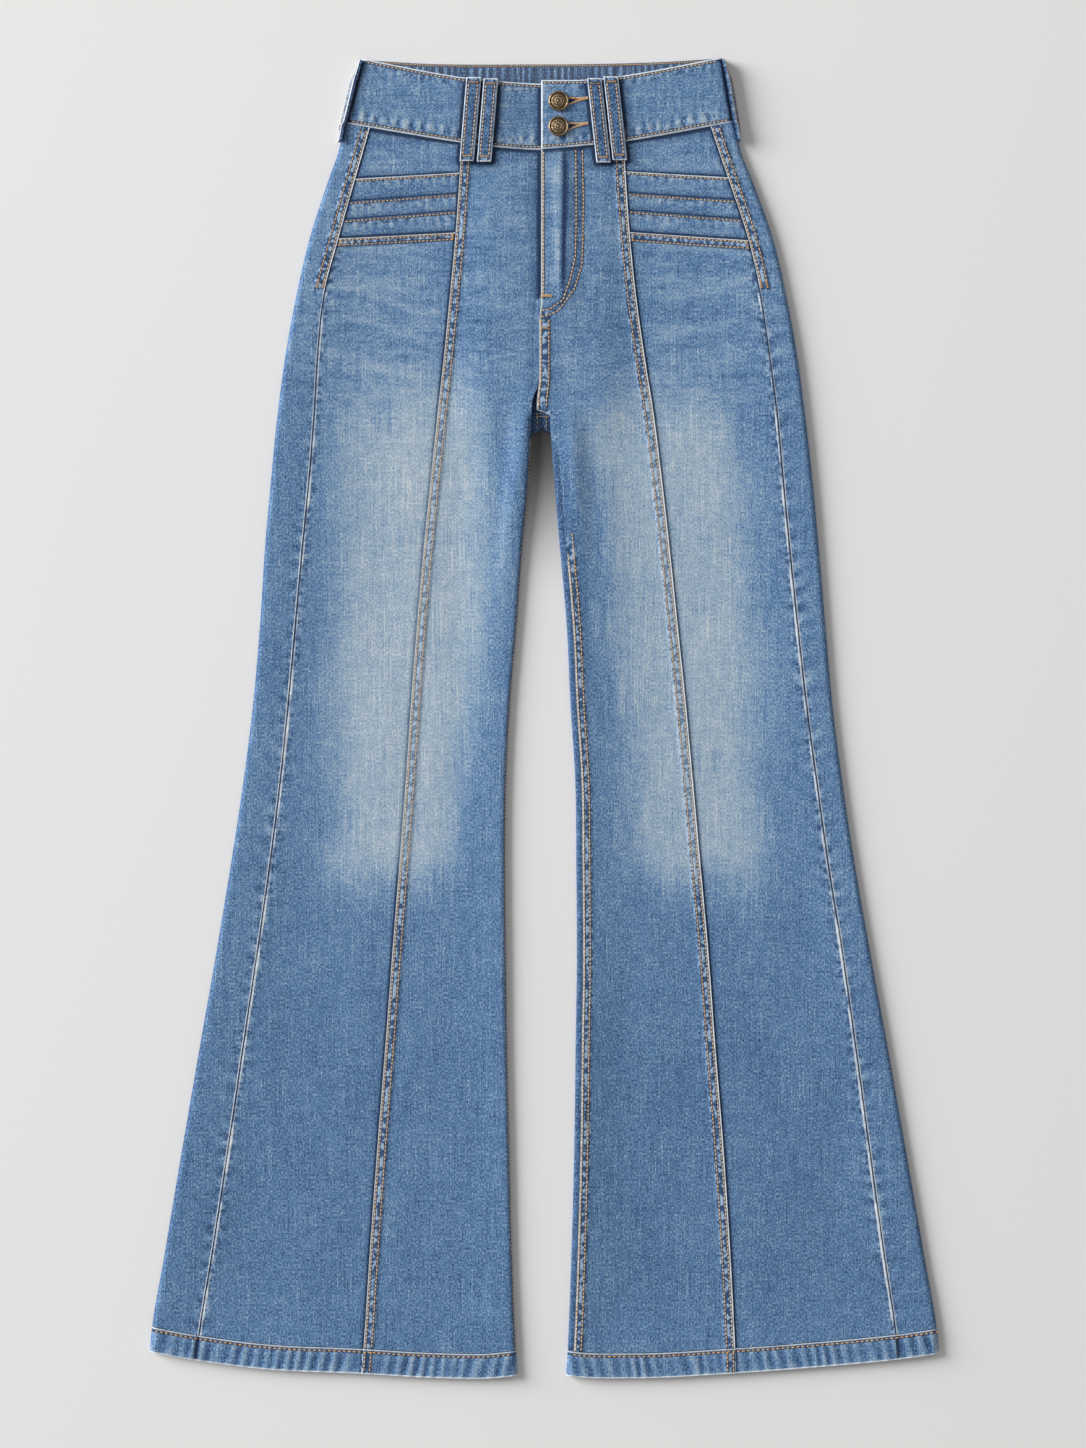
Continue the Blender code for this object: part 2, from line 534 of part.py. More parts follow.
def back_panel(side):
    """From the outseam on the front, round the outer fold, over the floor to the seat seam or the inseam.

    Below the crotch its inner columns bend up round the leg's inner fold: to the fold's outermost line on the
    right leg, and over it on to the front on the left leg.
    """
    inner_turns = (-60, -30, -3) if side == RIGHT else (-60, -30, 0, 30, 60, 90)
    inseam_in = 0.0 if side == RIGHT else FOLD_RADIUS + INSEAM_STEP - SEAM_GAP

    def seam(down):
        return outline(side, "outseam", down) + SEAM_GAP / 2

    def fold(down):
        return outline(side, "fold", down)

    def leg(down):
        return smooth_step(*BACK_LEG, down)

    def inner(down):
        return outline(side, "inner", down)

    def seat(down):
        return SEAT_SEAM_OUT[side] + SEAM_GAP / 2

    columns, raised = [], []

    def add(out, down, up, lift=0.0):
        columns.append(place_of(side, out, down, up))
        raised.append(np.zeros(len(down)) + lift)

    for inset, lift in ((0.0, SEAM_RAISE), (SEAM_WIDTH, SEAM_RAISE), (SEAM_WIDTH + STRIP_SIDE, 0.0)):
        out, down = column(side, ROW_LEVELS, lambda d, i=inset: seam(d) + i)
        add(out, down, front_up(side, out, down), lift * (1 - smooth_step(196, 214, down)))
    for turn in (90, 55, 25, 0, -30, -60, -90):
        out, down = column(side, ROW_LEVELS, lambda d, b=bent_in(turn): fold(d) - b)
        add(out, down, fold_up(front_up(side, fold(down) - FOLD_RADIUS, down), turn))
    # Above the crotch the inner columns lie flat beside the seat seam instead.
    flat_step = 2.6
    flat_end = (len(inner_turns) + (side == LEFT)) * flat_step

    def floor_end(down):
        return (seat(down) + flat_end) * (1 - leg(down)) + (inner(down) + FOLD_RADIUS) * leg(down)

    for share in (*FLOOR_SHARES, 1.0):
        out, down = column(
            side, ROW_LEVELS, lambda d, s=share: (fold(d) - FOLD_RADIUS) * (1 - s) + floor_end(d) * s, back=True
        )
        add(out, down, seat_up(side, out, down) * (1 - leg(down)))
    for k, turn in enumerate(inner_turns, start=1):
        flat, bent = flat_end - k * flat_step, bent_in(turn)

        def place(down, flat=flat, bent=bent):
            return (seat(down) + flat) * (1 - leg(down)) + (inner(down) + bent) * leg(down)

        out, down = column(side, ROW_LEVELS, place, back=True)
        top = front_up(side, inner(down) + FOLD_RADIUS, down)
        add(out, down, seat_up(side, out, down) * (1 - leg(down)) + fold_up(top, turn) * leg(down))
    if side == LEFT:
        out, down = column(
            side, ROW_LEVELS, lambda d: seat(d) * (1 - leg(d)) + (inner(d) + inseam_in) * leg(d), back=True
        )
        up = seat_up(side, out, down) * (1 - leg(down)) + front_up(side, out, down) * leg(down)
        add(out, down, up)
    return wall(side_name("back_panel", side), grid_of(columns), CLOTH, raised=np.stack(raised, axis=1))


def hem(side):
    """The turned-up hem: a double wall all round the leg's bottom, flat on the floor."""
    levels = HEM_LEVEL + SEAM_GAP + np.array([0.0, 0.5, 1.0]) * (HEM_WIDTH - SEAM_GAP)

    def inner(down):
        return outline(side, "inner", down)

    def fold(down):
        return outline(side, "fold", down)

    def at(place):
        """Out and down along the hem: its rows keep to the curve of its bottom edge."""
        down = levels
        for _ in range(4):
            down = levels + edge_down(HEM_BOTTOM[side], place(down)) - LENGTH
        return place(down), down

    columns, raised = [], []

    def add(place, up_at, lift=0.0):
        out, down = at(place)
        columns.append(place_of(side, out, down, up_at(out, down)))
        raised.append(np.zeros(len(down)) + lift)

    def panel_seam(down):
        return outline(side, "panel_seam", down)

    def outseam(down):
        return outline(side, "outseam", down)

    # The front's columns stand where its panels' columns end.
    strip_side = SEAM_WIDTH + STRIP_SIDE
    edge_in = FOLD_RADIUS if side == RIGHT else FOLD_RADIUS + INSEAM_STEP
    places = [lambda d: inner(d) + FOLD_RADIUS] if side == LEFT else []
    places += [
        lambda d, s=share: (panel_seam(d) - strip_side) * (1 - s) + (inner(d) + edge_in) * s
        for share in (*CENTRE_SHARES[side][::-1], 0.0)
    ]
    places += [
        lambda d, s=share: panel_seam(d) * (1 - s) + outseam(d) * s
        for share in (0.0, *SIDE_SHARES, 1.0)
    ]
    places.append(lambda d: fold(d) - FOLD_RADIUS)
    for place in places:
        add(place, lambda out, down: front_up(side, out, down), HEM_RAISE)
    for turn in (55, 25, 0, -30, -60, -90):
        add(
            lambda d, b=bent_in(turn): fold(d) - b,
            lambda out, down, t=turn: fold_up(front_up(side, fold(down) - FOLD_RADIUS, down), t),
        )
    for share in FLOOR_SHARES:
        add(
            lambda d, s=share: (fold(d) - FOLD_RADIUS) * (1 - s) + (inner(d) + FOLD_RADIUS) * s,
            lambda out, down: 0.0 * down,
        )
    for turn in (-90, -60, -30, 0, 30, 60):
        add(
            lambda d, b=bent_in(turn): inner(d) + b,
            lambda out, down, t=turn: fold_up(front_up(side, inner(down) + FOLD_RADIUS, down), t),
        )
    return wall(side_name("hem", side), grid_of(columns), DOUBLE, raised=np.stack(raised, axis=1), closed=True)


# ---------------------------------------------------------------- waistband
def waistband_front(side):
    """From the centre front round the side fold. The right half runs on below the left one."""
    centre = -EXTENSION_OUT if side == RIGHT else BAND_TOP[LEFT][0].out
    top_end, seam_end = BAND_TOP[side][-1].out, WAIST_SEAM[side][-1].out
    shares = np.array([0.0, 0.35, 0.65, 1.0])
    columns = []

    def add(out_top, out_seam, up):
        top, seam = edge_down(BAND_TOP[side], out_top), edge_down(WAIST_SEAM[side], out_seam)
        out = out_top + (out_seam - out_top) * shares
        down = top + (seam - top) * shares
        columns.append(place_of(side, out, down, up(out)))

    for share in (0.0, 0.1, 0.2, 0.3, 0.4, 0.55, 0.7, 0.85, 1.0):
        out_top = centre + (top_end - FOLD_RADIUS - centre) * share
        out_seam = centre + (seam_end - FOLD_RADIUS - centre) * share
        add(out_top, out_seam, lambda out: band_up(side, out))
    for turn in (60, 30, 3):
        bent = bent_in(turn)
        add(top_end - bent, seam_end - bent, lambda out, t=turn: fold_up(np.full(len(out), BAND_UP), t))
    return wall(side_name("waistband_front", side), grid_of(columns), DOUBLE)


def waistband_back():
    """Flat on the floor behind the front band, and bent up at both side folds. Its inside shows at the top."""
    shares = np.array([0.0, 0.35, 0.65, 1.0])
    right_top, right_seam = BAND_TOP[RIGHT][-1].out, WAIST_SEAM[RIGHT][-1].out
    left_top, left_seam = BAND_TOP[LEFT][-1].out, WAIST_SEAM[LEFT][-1].out
    columns = []

    def add(out_top, out_seam, up):
        top = edge_down(BACK_TOP, out_top)
        seam = edge_down(BACK_WAIST[LEFT if out_seam > 0 else RIGHT], abs(out_seam))
        out = out_top + (out_seam - out_top) * shares
        down = top + (seam - top) * shares
        columns.append(place_of(LEFT, out, down, up + 0.0 * out))

    for turn in (-3, -30, -60):
        bent = bent_in(turn)
        add(bent - right_top, bent - right_seam, fold_up(BAND_UP, turn))
    for share in np.linspace(0.0, 1.0, 9):
        out_top = (FOLD_RADIUS - right_top) * (1 - share) + (left_top - FOLD_RADIUS) * share
        out_seam = (FOLD_RADIUS - right_seam) * (1 - share) + (left_seam - FOLD_RADIUS) * share
        add(out_top, out_seam, 0.0)
    for turn in (-60, -30, -3):
        bent = bent_in(turn)
        add(left_top - bent, left_seam - bent, fold_up(BAND_UP, turn))
    return wall("waistband_back", grid_of(columns), DOUBLE, colour=DENIM_INSIDE)


def belt_loop(loop):
    """A front loop: its ends lie on the band and on the panel below it, and its middle bows off the band."""
    shares = np.array([0.0, 0.1, 0.3, 0.55, 0.74, 0.86, 1.0])
    bow = LOOP_BOW * np.sin(np.pi * shares) ** 0.5
    down = loop.top_down + (loop.bottom_down - loop.top_down) * shares
    columns = []
    for inner_to_outer in (0.0, 0.5, 1.0):
        top = loop.top_inner + (loop.top_outer - loop.top_inner) * inner_to_outer
        bottom = loop.bottom_inner + (loop.bottom_outer - loop.bottom_inner) * inner_to_outer
        out = top + (bottom - top) * shares
        on_band = down < edge_down(WAIST_SEAM[loop.side], out) + SEAM_GAP
        below = np.where(on_band, band_up(loop.side, out), front_up(loop.side, out, down) + SEAM_RAISE)
        columns.append(place_of(loop.side, out, down, below + SEAM_GAP + bow + LOOP_THICKNESS))
    return wall(loop.name, grid_of(columns), LOOP_THICKNESS)


def belt_loop_side(side):
    """A side loop on its edge at the side fold: it lies by the band at both ends and bows out between them."""
    down_top, down_bottom = SIDE_LOOP_DOWNS[side]
    shares = np.array([0.0, 0.12, 0.3, 0.5, 0.7, 0.88, 1.0])
    down = down_top + (down_bottom - down_top) * shares
    top_out, seam_out = BAND_TOP[side][-1].out, WAIST_SEAM[side][-1].out
    top_down, seam_down = BAND_TOP[side][-1].down, WAIST_SEAM[side][-1].down
    band_edge = top_out + (seam_out - top_out) * (down - top_down) / (seam_down - top_down)
    carrier = np.where(down < seam_down, band_edge, outline(side, "fold", down) + SEAM_GAP)
    bow = SIDE_LOOP_BOW * smooth_step(0.0, 0.3, shares) * (1 - smooth_step(0.7, 1.0, shares))
    outer = carrier + SEAM_GAP + bow + SIDE_LOOP_THICKNESS
    columns = [place_of(side, outer, down, up) for up in (SIDE_LOOP_HEIGHT, SIDE_LOOP_HEIGHT / 2, 0.0)]
    return wall(side_name("belt_loop_side", side), grid_of(columns), SIDE_LOOP_THICKNESS, standing=True)


# ---------------------------------------------------------------- buttons and zip
def turned(name, profile, out, down, colour, segments=28):
    """A solid turned about a vertical line through (out, down). Its profile is (radius, up) points, top first."""
    angles = np.linspace(0.0, 2 * np.pi, segments, endpoint=False)
    rings = [
        place_of(LEFT, out + r * np.cos(angles), down - r * np.sin(angles), up) for r, up in profile[1:-1]
    ]
    points = np.concatenate([place_of(LEFT, out, down, profile[0][1])[None], *rings,
                             place_of(LEFT, out, down, profile[-1][1])[None]])
    around = np.arange(segments)
    after = np.roll(around, -1)
    faces = [[0, 1 + a, 1 + b] for a, b in zip(around, after)]
    for ring in range(len(rings) - 1):
        upper, lower = 1 + ring * segments, 1 + (ring + 1) * segments
        faces += [[upper + a, lower + a, lower + b, upper + b] for a, b in zip(around, after)]
    last, end = 1 + (len(rings) - 1) * segments, len(points) - 1
    faces += [[end, last + b, last + a] for a, b in zip(around, after)]
    made = solid(name, points, faces, colour, roughness=0.38, metallic=1.0)
    made.data.shade_smooth()
    made.data.set_sharp_from_angle(angle=np.radians(40))
    return made


def button(name, down):
    """A shank button: a domed cap with a raised rim, on a shank that runs through the left band."""
    base = LAP_BAND_UP + SEAM_GAP
    foot = EXTENSION_UP + SEAM_GAP
    profile = (
        (0.0, base + 3.3),
        (3.2, base + 3.2),
        (6.0, base + 2.7),
        (6.9, base + 2.3),
        (7.6, base + 2.9),
        (8.4, base + 2.8),
        (BUTTON_RADIUS, base + 2.1),
        (BUTTON_RADIUS, base + 0.9),
        (8.0, base + 0.4),
        (SHANK_RADIUS, base),
        (SHANK_RADIUS, foot),
        (0.0, foot),
    )
    return turned(name, profile, BUTTON_OUT, down, BRASS)


def prism(name, lower, upper, colour, roughness=0.6, metallic=0.0):
    """A solid between two rings of points, which lie opposite each other."""
    count = len(lower)
    faces = [list(range(count)), list(range(2 * count - 1, count - 1, -1))]
    faces += [[k, k + count, (k + 1) % count + count, (k + 1) % count] for k in range(count)]
    return solid(name, np.concatenate([lower, upper]), faces, colour, roughness, metallic)


def along_fly(name, section, downs, colour, roughness=0.6, metallic=0.0):
    """A bar along the fly from one distance down to another. Its section is (out, up) points in order."""
    out, up = np.array(section, float).T
    ends = [place_of(LEFT, out, np.full(len(out), float(d)), up) for d in downs]
    return prism(name, *ends, colour, roughness, metallic)


def buttonholes():
    """Cuts the round ends of the two buttonholes through the left band, where the shanks pass."""
    band = bpy.data.objects["waistband_front_l"]
    angles = np.linspace(0.0, 2 * np.pi, 16, endpoint=False)
    out, off = BUTTON_OUT + BUTTONHOLE_RADIUS * np.cos(angles), BUTTONHOLE_RADIUS * np.sin(angles)
    for name, down in BUTTONS_DOWN.items():
        rings = [place_of(LEFT, out, down + off, up) for up in (EXTENSION_UP + 0.1, LAP_BAND_UP + 1.0)]
        cutter = prism(f"{name}_hole", *rings, BRASS)
        cutter.hide_render = True
        cutter.display_type = "WIRE"
        cut = band.modifiers.new(cutter.name, "BOOLEAN")
        cut.operation = "DIFFERENCE"
        cut.object = cutter


def fly():
    """Hidden under the left front: the shield, the closed zip on its tape, and the slider locked at its top."""
    low, high = SHIELD_UP
    near, far = SHIELD_OUT
    shield = [(near, low), (far, low), (far, high), (near, high)]
    along_fly("fly_shield", shield, SHIELD_DOWN, DENIM, roughness=0.9)
    low, high = TAPE_UP
    tape, teeth, slider = TAPE_WIDTH / 2, TEETH_WIDTH / 2, SLIDER_WIDTH / 2
    half_chain = [(tape, low), (tape, high), (teeth, high), (teeth, TEETH_UP)]
    half_slider = [(slider, low), (slider, SLIDER_SHOULDER_UP), (slider - 2.5, SLIDER_TOP_UP)]

    def mirrored(half):
        """The whole section from its half, about the zip's middle."""
        return [(ZIP_OUT + o, u) for o, u in half] + [(ZIP_OUT - o, u) for o, u in half[::-1]]

    along_fly("zip_chain", mirrored(half_chain), TAPE_DOWN, ZIP_TAPE)
    along_fly("zip_slider", mirrored(half_slider), SLIDER_DOWN, BRASS, roughness=0.4, metallic=1.0)


def main():
    for old in list(bpy.data.objects):
        bpy.data.objects.remove(old, do_unlink=True)
    for side in (RIGHT, LEFT):
        centre_front(side)
        side_front(side)
        hip_panel(side)
        pocket_mouth(side)
        back_panel(side)
        hem(side)
        waistband_front(side)
        belt_loop_side(side)
    waistband_back()
    for loop in LOOPS:
        belt_loop(loop)
    for name, down in BUTTONS_DOWN.items():
        button(name, down)
    buttonholes()
    fly()


main()
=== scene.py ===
"""The looks of wide leg jeans laid flat on their back, front up, with the zip and both buttons closed.

Every piece of cloth is a surface worked out from the same sizes as the model's solids. A place on the garment
is "out", the distance from the centre line towards a side, "down", the distance below the waist's highest
point, and "up", the height over the floor, all in millimetres. The waist points to +Y and the wearer's right
to -X.
"""

from collections import namedtuple
from functools import partial

import bpy
import numpy as np
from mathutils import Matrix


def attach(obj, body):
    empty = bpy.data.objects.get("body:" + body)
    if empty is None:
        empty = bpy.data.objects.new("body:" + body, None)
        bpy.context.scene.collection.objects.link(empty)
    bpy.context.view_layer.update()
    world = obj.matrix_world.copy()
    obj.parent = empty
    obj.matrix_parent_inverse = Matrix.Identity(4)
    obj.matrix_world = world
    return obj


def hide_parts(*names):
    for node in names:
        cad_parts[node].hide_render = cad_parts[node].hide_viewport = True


bl_info = {
    "name": "Wide Leg Jeans",
    "version": (1, 0, 0),
    "blender": (4, 5, 0),
    "location": "View3D > Sidebar > Jeans",
    "description": "Makes the denim panels, seams, stitches, buttons and stage of wide leg jeans laid flat",
    "category": "Object",
}

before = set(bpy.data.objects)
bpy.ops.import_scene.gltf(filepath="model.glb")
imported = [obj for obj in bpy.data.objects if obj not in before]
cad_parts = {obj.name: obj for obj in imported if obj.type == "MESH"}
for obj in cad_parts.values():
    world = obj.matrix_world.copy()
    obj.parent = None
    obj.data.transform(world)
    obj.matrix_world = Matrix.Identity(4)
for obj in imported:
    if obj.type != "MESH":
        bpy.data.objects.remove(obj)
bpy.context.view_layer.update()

MM = 0.001
PER_METRE = 1000.0  # millimetres
RIGHT, LEFT = -1, 1
SIDES = (RIGHT, LEFT)

# ---------------------------------------------------------------- sizes of the model's solids
LENGTH = 1163.2
CENTRING_OUT, CENTRING_DOWN = 0.21, 0.22  # these put the middle of the outline on the origin
CLOTH, DOUBLE = 1.2, 2.4  # one layer of denim, and two
SEAM_GAP = 0.3  # between neighbouring pieces
SEAM_RAISE, SEAM_WIDTH = 0.7, 8.5  # of a double-stitched strip
BETWEEN_LAYERS_UP = 1.6
FOLD_RADIUS = 4.5
FOLD_MIDDLE = 0.48  # how high a fold's outermost line lies, as a share of its top
FOLD_REACH, INNER_REACH = 46.0, 34.0  # over which the front comes down from the outer and the inner fold
FLY_REACH = (44.0, 88.0)
BAND_UP = 7.2
HEM_WIDTH = 22.0
HEM_RAISE = 0.4
WAIST_LEVEL = 58.0
HEM_LEVEL = LENGTH - HEM_WIDTH
CROTCH_DOWN = 309.0
LAP, LAP_DIP = 1.2, 0.8  # how much higher the left front lies at the fly, and how much lower the right one
FLY_STITCH_OUT = 34.0
FLY_OPEN_DOWN = 206.0
CENTRE_SEAM_DOWN = 226.0
FRONT_LEG, BACK_LEG = (312.0, 326.0), (328.0, 333.0)  # below the crotch a panel bends round its leg from here
INSEAM_SHOWS = (405.0, 450.0)  # the left inseam comes round on to the front over this stretch
INSEAM_STEP = 1.0  # from the inner fold to the left inseam
EXTENSION_OUT, EXTENSION_UP = 33.0, 5.4  # the right band's end, below the left one
LAP_BAND_UP = 8.1
ZIP_OUT, ZIP_RIDGE, ZIP_RIDGE_WIDTH = 14.5, 0.9, 7.0
SHIELD_OUT, SHIELD_DOWN, SHIELD_UP = (3.0, 38.0), (83.0, 205.0), (1.5, 2.7)
TAPE_WIDTH, TAPE_UP, TAPE_DOWN = 27.0, (3.0, 3.6), (98.5, 203.0)
TEETH_WIDTH, TEETH_UP = 5.4, 5.2
BUTTON_OUT = 12.4
BUTTONS_DOWN = {"button_upper": 39.4, "button_lower": 61.6}
BUTTON_RADIUS, SHANK_RADIUS = 8.85, 2.2
LOOP_THICKNESS, LOOP_BOW = 2.0, 1.0
SIDE_LOOP_THICKNESS, SIDE_LOOP_BOW, SIDE_LOOP_HEIGHT = 2.6, 3.4, 10.5

Level = namedtuple("Level", "down fold outseam panel_seam inner")
OUTLINE = {
    RIGHT: (
        Level(57, 175.0, 152.0, 73.6, 11.7),
        Level(85, 182.1, 160.0, 73.9, 11.7),
        Level(110, 191.0, 167.2, 75.2, 11.7),
        Level(160, 207.0, 181.3, 78.7, 11.7),
        Level(210, 218.6, 194.5, 83.4, 11.7),
        Level(260, 227.8, 200.1, 88.3, 11.7),
        Level(315, 235.2, 203.4, 94.3, 11.7),
        Level(370, 240.7, 207.7, 100.1, 13.7),
        Level(430, 246.1, 213.5, 106.2, 19.2),
        Level(500, 250.6, 219.9, 112.4, 24.4),
        Level(570, 256.8, 226.2, 117.7, 30.3),
        Level(640, 265.6, 233.5, 122.5, 33.7),
        Level(710, 276.2, 242.3, 127.9, 34.5),
        Level(790, 289.4, 253.7, 134.2, 33.7),
        Level(870, 303.4, 265.7, 140.2, 32.8),
        Level(960, 318.9, 278.9, 147.3, 30.8),
        Level(1050, 334.0, 292.7, 153.8, 28.6),
        Level(1130, 347.0, 305.3, 159.0, 25.6),
        Level(1165, 347.9, 308.6, 161.6, 23.6),
    ),
    LEFT: (
        Level(57, 166.5, 144.7, 70.4, 5.1),
        Level(85, 173.6, 154.0, 70.6, 5.1),
        Level(110, 183.5, 162.7, 71.9, 5.1),
        Level(160, 201.3, 179.2, 75.5, 5.1),
        Level(210, 212.9, 190.6, 80.7, 5.1),
        Level(260, 222.1, 198.1, 87.7, 5.1),
        Level(315, 229.5, 205.4, 96.4, 5.1),
        Level(370, 235.8, 210.5, 103.3, 8.4),
        Level(430, 241.4, 216.2, 110.1, 13.4),
        Level(500, 247.4, 223.4, 117.4, 19.5),
        Level(570, 253.6, 231.3, 124.7, 22.9),
        Level(640, 262.6, 240.6, 131.1, 27.2),
        Level(710, 273.2, 250.4, 137.4, 28.0),
        Level(790, 287.2, 263.1, 144.6, 28.5),
        Level(870, 302.0, 274.4, 150.5, 27.4),
        Level(960, 317.8, 286.6, 157.7, 26.2),
        Level(1050, 333.5, 299.0, 163.6, 23.8),
        Level(1130, 346.6, 310.5, 167.6, 20.8),
        Level(1165, 347.2, 312.4, 168.8, 18.8),
    ),
}

Spot = namedtuple("Spot", "out down")
BAND_TOP = {
    RIGHT: (Spot(-60, 23.6), Spot(6.4, 23.3), Spot(40.7, 21.4), Spot(69.3, 18.5), Spot(160.6, 1.8)),
    LEFT: (Spot(-2.9, 20.6), Spot(36.7, 20.2), Spot(64.9, 17.3), Spot(156.4, 0.6)),
}
WAIST_SEAM = {
    RIGHT: (Spot(-40, 76.5), Spot(5.5, 81.5), Spot(44.2, 79.2), Spot(74.1, 75.3), Spot(174.2, 58.7)),
    LEFT: (Spot(-10, 81.4), Spot(1.5, 81.0), Spot(43.8, 77.4), Spot(72.8, 74.1), Spot(166.1, 57.4)),
}
BACK_TOP = (Spot(-161.0, 1.8), Spot(-100.5, 5.3), Spot(0, 5.7), Spot(101.9, 3.7), Spot(157.0, 0.4))
BACK_WAIST = {
    RIGHT: (Spot(0, 63.1), Spot(100, 61.6), Spot(174.2, 58.7)),
    LEFT: (Spot(0, 63.1), Spot(100, 61.0), Spot(166.1, 57.4)),
}
HEM_BOTTOM = {
    RIGHT: (Spot(24.0, 1160.4), Spot(58.7, 1163.2), Spot(109.3, 1161.9), Spot(160.9, 1158.8),
            Spot(245.7, 1154.8), Spot(308.6, 1146.5), Spot(347.9, 1139.1)),
    LEFT: (Spot(19.5, 1160.4), Spot(40.0, 1162.4), Spot(81.2, 1162.7), Spot(162.1, 1158.7),
           Spot(238.3, 1153.1), Spot(312.4, 1145.9), Spot(347.2, 1140.7)),
}
CENTRE_EDGE = {
    RIGHT: (Spot(-10.0, 60), Spot(-10.0, 206), Spot(3.2, 214), Spot(4.8, 232), Spot(4.8, 282), Spot(6.4, 292),
            Spot(9.6, 298), Spot(11.0, 306), Spot(11.7, 318)),
    LEFT: (Spot(-2.9, 60), Spot(-2.9, 214), Spot(-4.6, 232), Spot(-4.6, 284), Spot(-6.7, 303),
           Spot(-6.7, 311), Spot(4.6, 313.6), Spot(5.4, 332)),
}
SEAT_SEAM_OUT = {RIGHT: 2.7, LEFT: -2.7}

CrossLine = namedtuple("CrossLine", "down_outseam down_panel_seam")
TUCKS = {
    RIGHT: (CrossLine(107.4, 101.9), CrossLine(127.8, 120.4), CrossLine(143.9, 135.6)),
    LEFT: (CrossLine(106.2, 100.7), CrossLine(126.5, 119.8), CrossLine(143.3, 135.2)),
}
MOUTH = {
    RIGHT: (CrossLine(159.9, 154.4), CrossLine(167.6, 161.1)),
    LEFT: (CrossLine(161.5, 154.1), CrossLine(170.4, 161.5)),
}
TUCK_RAISE = 1.0
MOUTH_RAISE = 0.9

Loft = namedtuple("Loft", "down by_fold between")
LOFT = (
    Loft(57, 6.4, 6.3), Loft(85, 6.5, 5.6), Loft(125, 6.7, 4.4), Loft(210, 6.8, 3.9),
    Loft(315, 7.0, 4.1), Loft(400, 6.6, 3.5), Loft(700, 5.9, 3.1), Loft(1060, 5.9, 3.1),
    Loft(1110, 6.4, 4.0), Loft(1135, 6.6, 5.5), Loft(1165, 6.6, 5.7),
)
Crease = namedtuple("Crease", "side out_from down_from out_to down_to half_width height")
CREASES = (
    Crease(RIGHT, 14, 300, 42, 520, 10, 3.0),
    Crease(RIGHT, 46, 330, 62, 470, 12, 1.0),
    Crease(LEFT, 24, 320, 36, 500, 10, 2.4),
    Crease(LEFT, 52, 350, 66, 560, 14, 1.0),
)
SEAT_RISE = 1.6

LoopPlace = namedtuple(
    "LoopPlace", "name side top_inner top_outer top_down bottom_inner bottom_outer bottom_down"
)
LOOPS = (
    LoopPlace("belt_loop_1", RIGHT, 55.6, 68.6, 18.4, 62.2, 74.6, 92.1),
    LoopPlace("belt_loop_2", RIGHT, 40.7, 53.4, 19.6, 46.8, 59.4, 92.7),
    LoopPlace("belt_loop_3", LEFT, 37.4, 50.0, 19.5, 45.7, 58.2, 93.4),
    LoopPlace("belt_loop_4", LEFT, 51.9, 64.7, 17.9, 60.0, 72.6, 91.3),
)
SIDE_LOOP_DOWNS = {RIGHT: (3.2, 74.0), LEFT: (2.2, 73.0)}

# ---------------------------------------------------------------- what the cloth's surface shows
# The outer and the inner row of the fly's curved stitching.
FLY_STITCHES = (
    (Spot(33.5, 81.8), Spot(34.3, 123.2), Spot(33.9, 160), Spot(33.2, 182.2), Spot(26.5, 204),
     Spot(12.4, 223.5), Spot(2.5, 228.0), Spot(-3.4, 228.8)),
    (Spot(27.6, 81.8), Spot(28.0, 123.2), Spot(27.9, 150), Spot(27.2, 176), Spot(22.5, 197),
     Spot(16.5, 213.8), Spot(5.0, 222.0), Spot(-2.4, 223.5)),
)
# The middle of each leg's faded panel, where the cloth is palest.
FADE_LINE = {
    RIGHT: (Spot(118, 230), Spot(114, 330), Spot(114, 480), Spot(121, 560), Spot(131, 640), Spot(137, 760)),
    LEFT: (Spot(101, 230), Spot(104, 330), Spot(120, 480), Spot(128, 560), Spot(134, 640), Spot(140, 760)),
}
# Soft pale (above 0) and dark (below 0) streaks. Across the hips they are worn whiskers with darker cloth
# between them; those by the fly and down from the crotch are painted highlight on ridges and painted shade in
# valleys and folds.
Streak = namedtuple("Streak", "side out_from down_from out_to down_to half_width tone")
STREAKS = (
    Streak(RIGHT, 188, 196, 96, 226, 4, 0.30),
    Streak(RIGHT, 190, 206, 104, 232, 3, -0.12),
    Streak(RIGHT, 182, 226, 92, 252, 4, 0.28),
    Streak(RIGHT, 180, 238, 100, 258, 3, -0.12),
    Streak(RIGHT, 186, 262, 104, 280, 5, 0.26),
    Streak(RIGHT, 176, 250, 96, 268, 3, -0.12),
    Streak(RIGHT, 190, 280, 150, 292, 4, -0.16),
    Streak(LEFT, 186, 192, 98, 218, 4, 0.26),
    Streak(LEFT, 188, 203, 106, 226, 3, -0.12),
    Streak(LEFT, 176, 230, 92, 250, 4, 0.26),
    Streak(LEFT, 178, 242, 102, 258, 3, -0.12),
    Streak(LEFT, 182, 262, 104, 276, 5, 0.26),
    Streak(LEFT, 186, 276, 140, 288, 4, -0.16),
    Streak(LEFT, 8.5, 84, 9.5, 214, 2.6, 0.45),
    Streak(LEFT, 13.5, 86, 13.0, 206, 1.6, 0.50),
    Streak(LEFT, 18.0, 84, 17.0, 212, 2.3, -1.45),
    Streak(LEFT, 23.0, 88, 21.0, 200, 1.6, 0.22),
    Streak(LEFT, 26.0, 110, 24.0, 190, 1.8, -0.30),
    Streak(LEFT, 40.0, 86, 44.0, 190, 3.5, -0.12),
    Streak(RIGHT, 9, 150, 9, 290, 5, -0.14),
    Streak(RIGHT, 22, 250, 40, 470, 6, 0.18),
    Streak(RIGHT, 9, 300, 26, 520, 5, -0.30),
    Streak(RIGHT, 34, 330, 52, 520, 6, -0.16),
    Streak(LEFT, 16, 240, 30, 420, 6, 0.16),
    Streak(LEFT, 14, 318, 44, 560, 7, -0.30),
    Streak(LEFT, 44, 360, 60, 600, 6, -0.14),
)

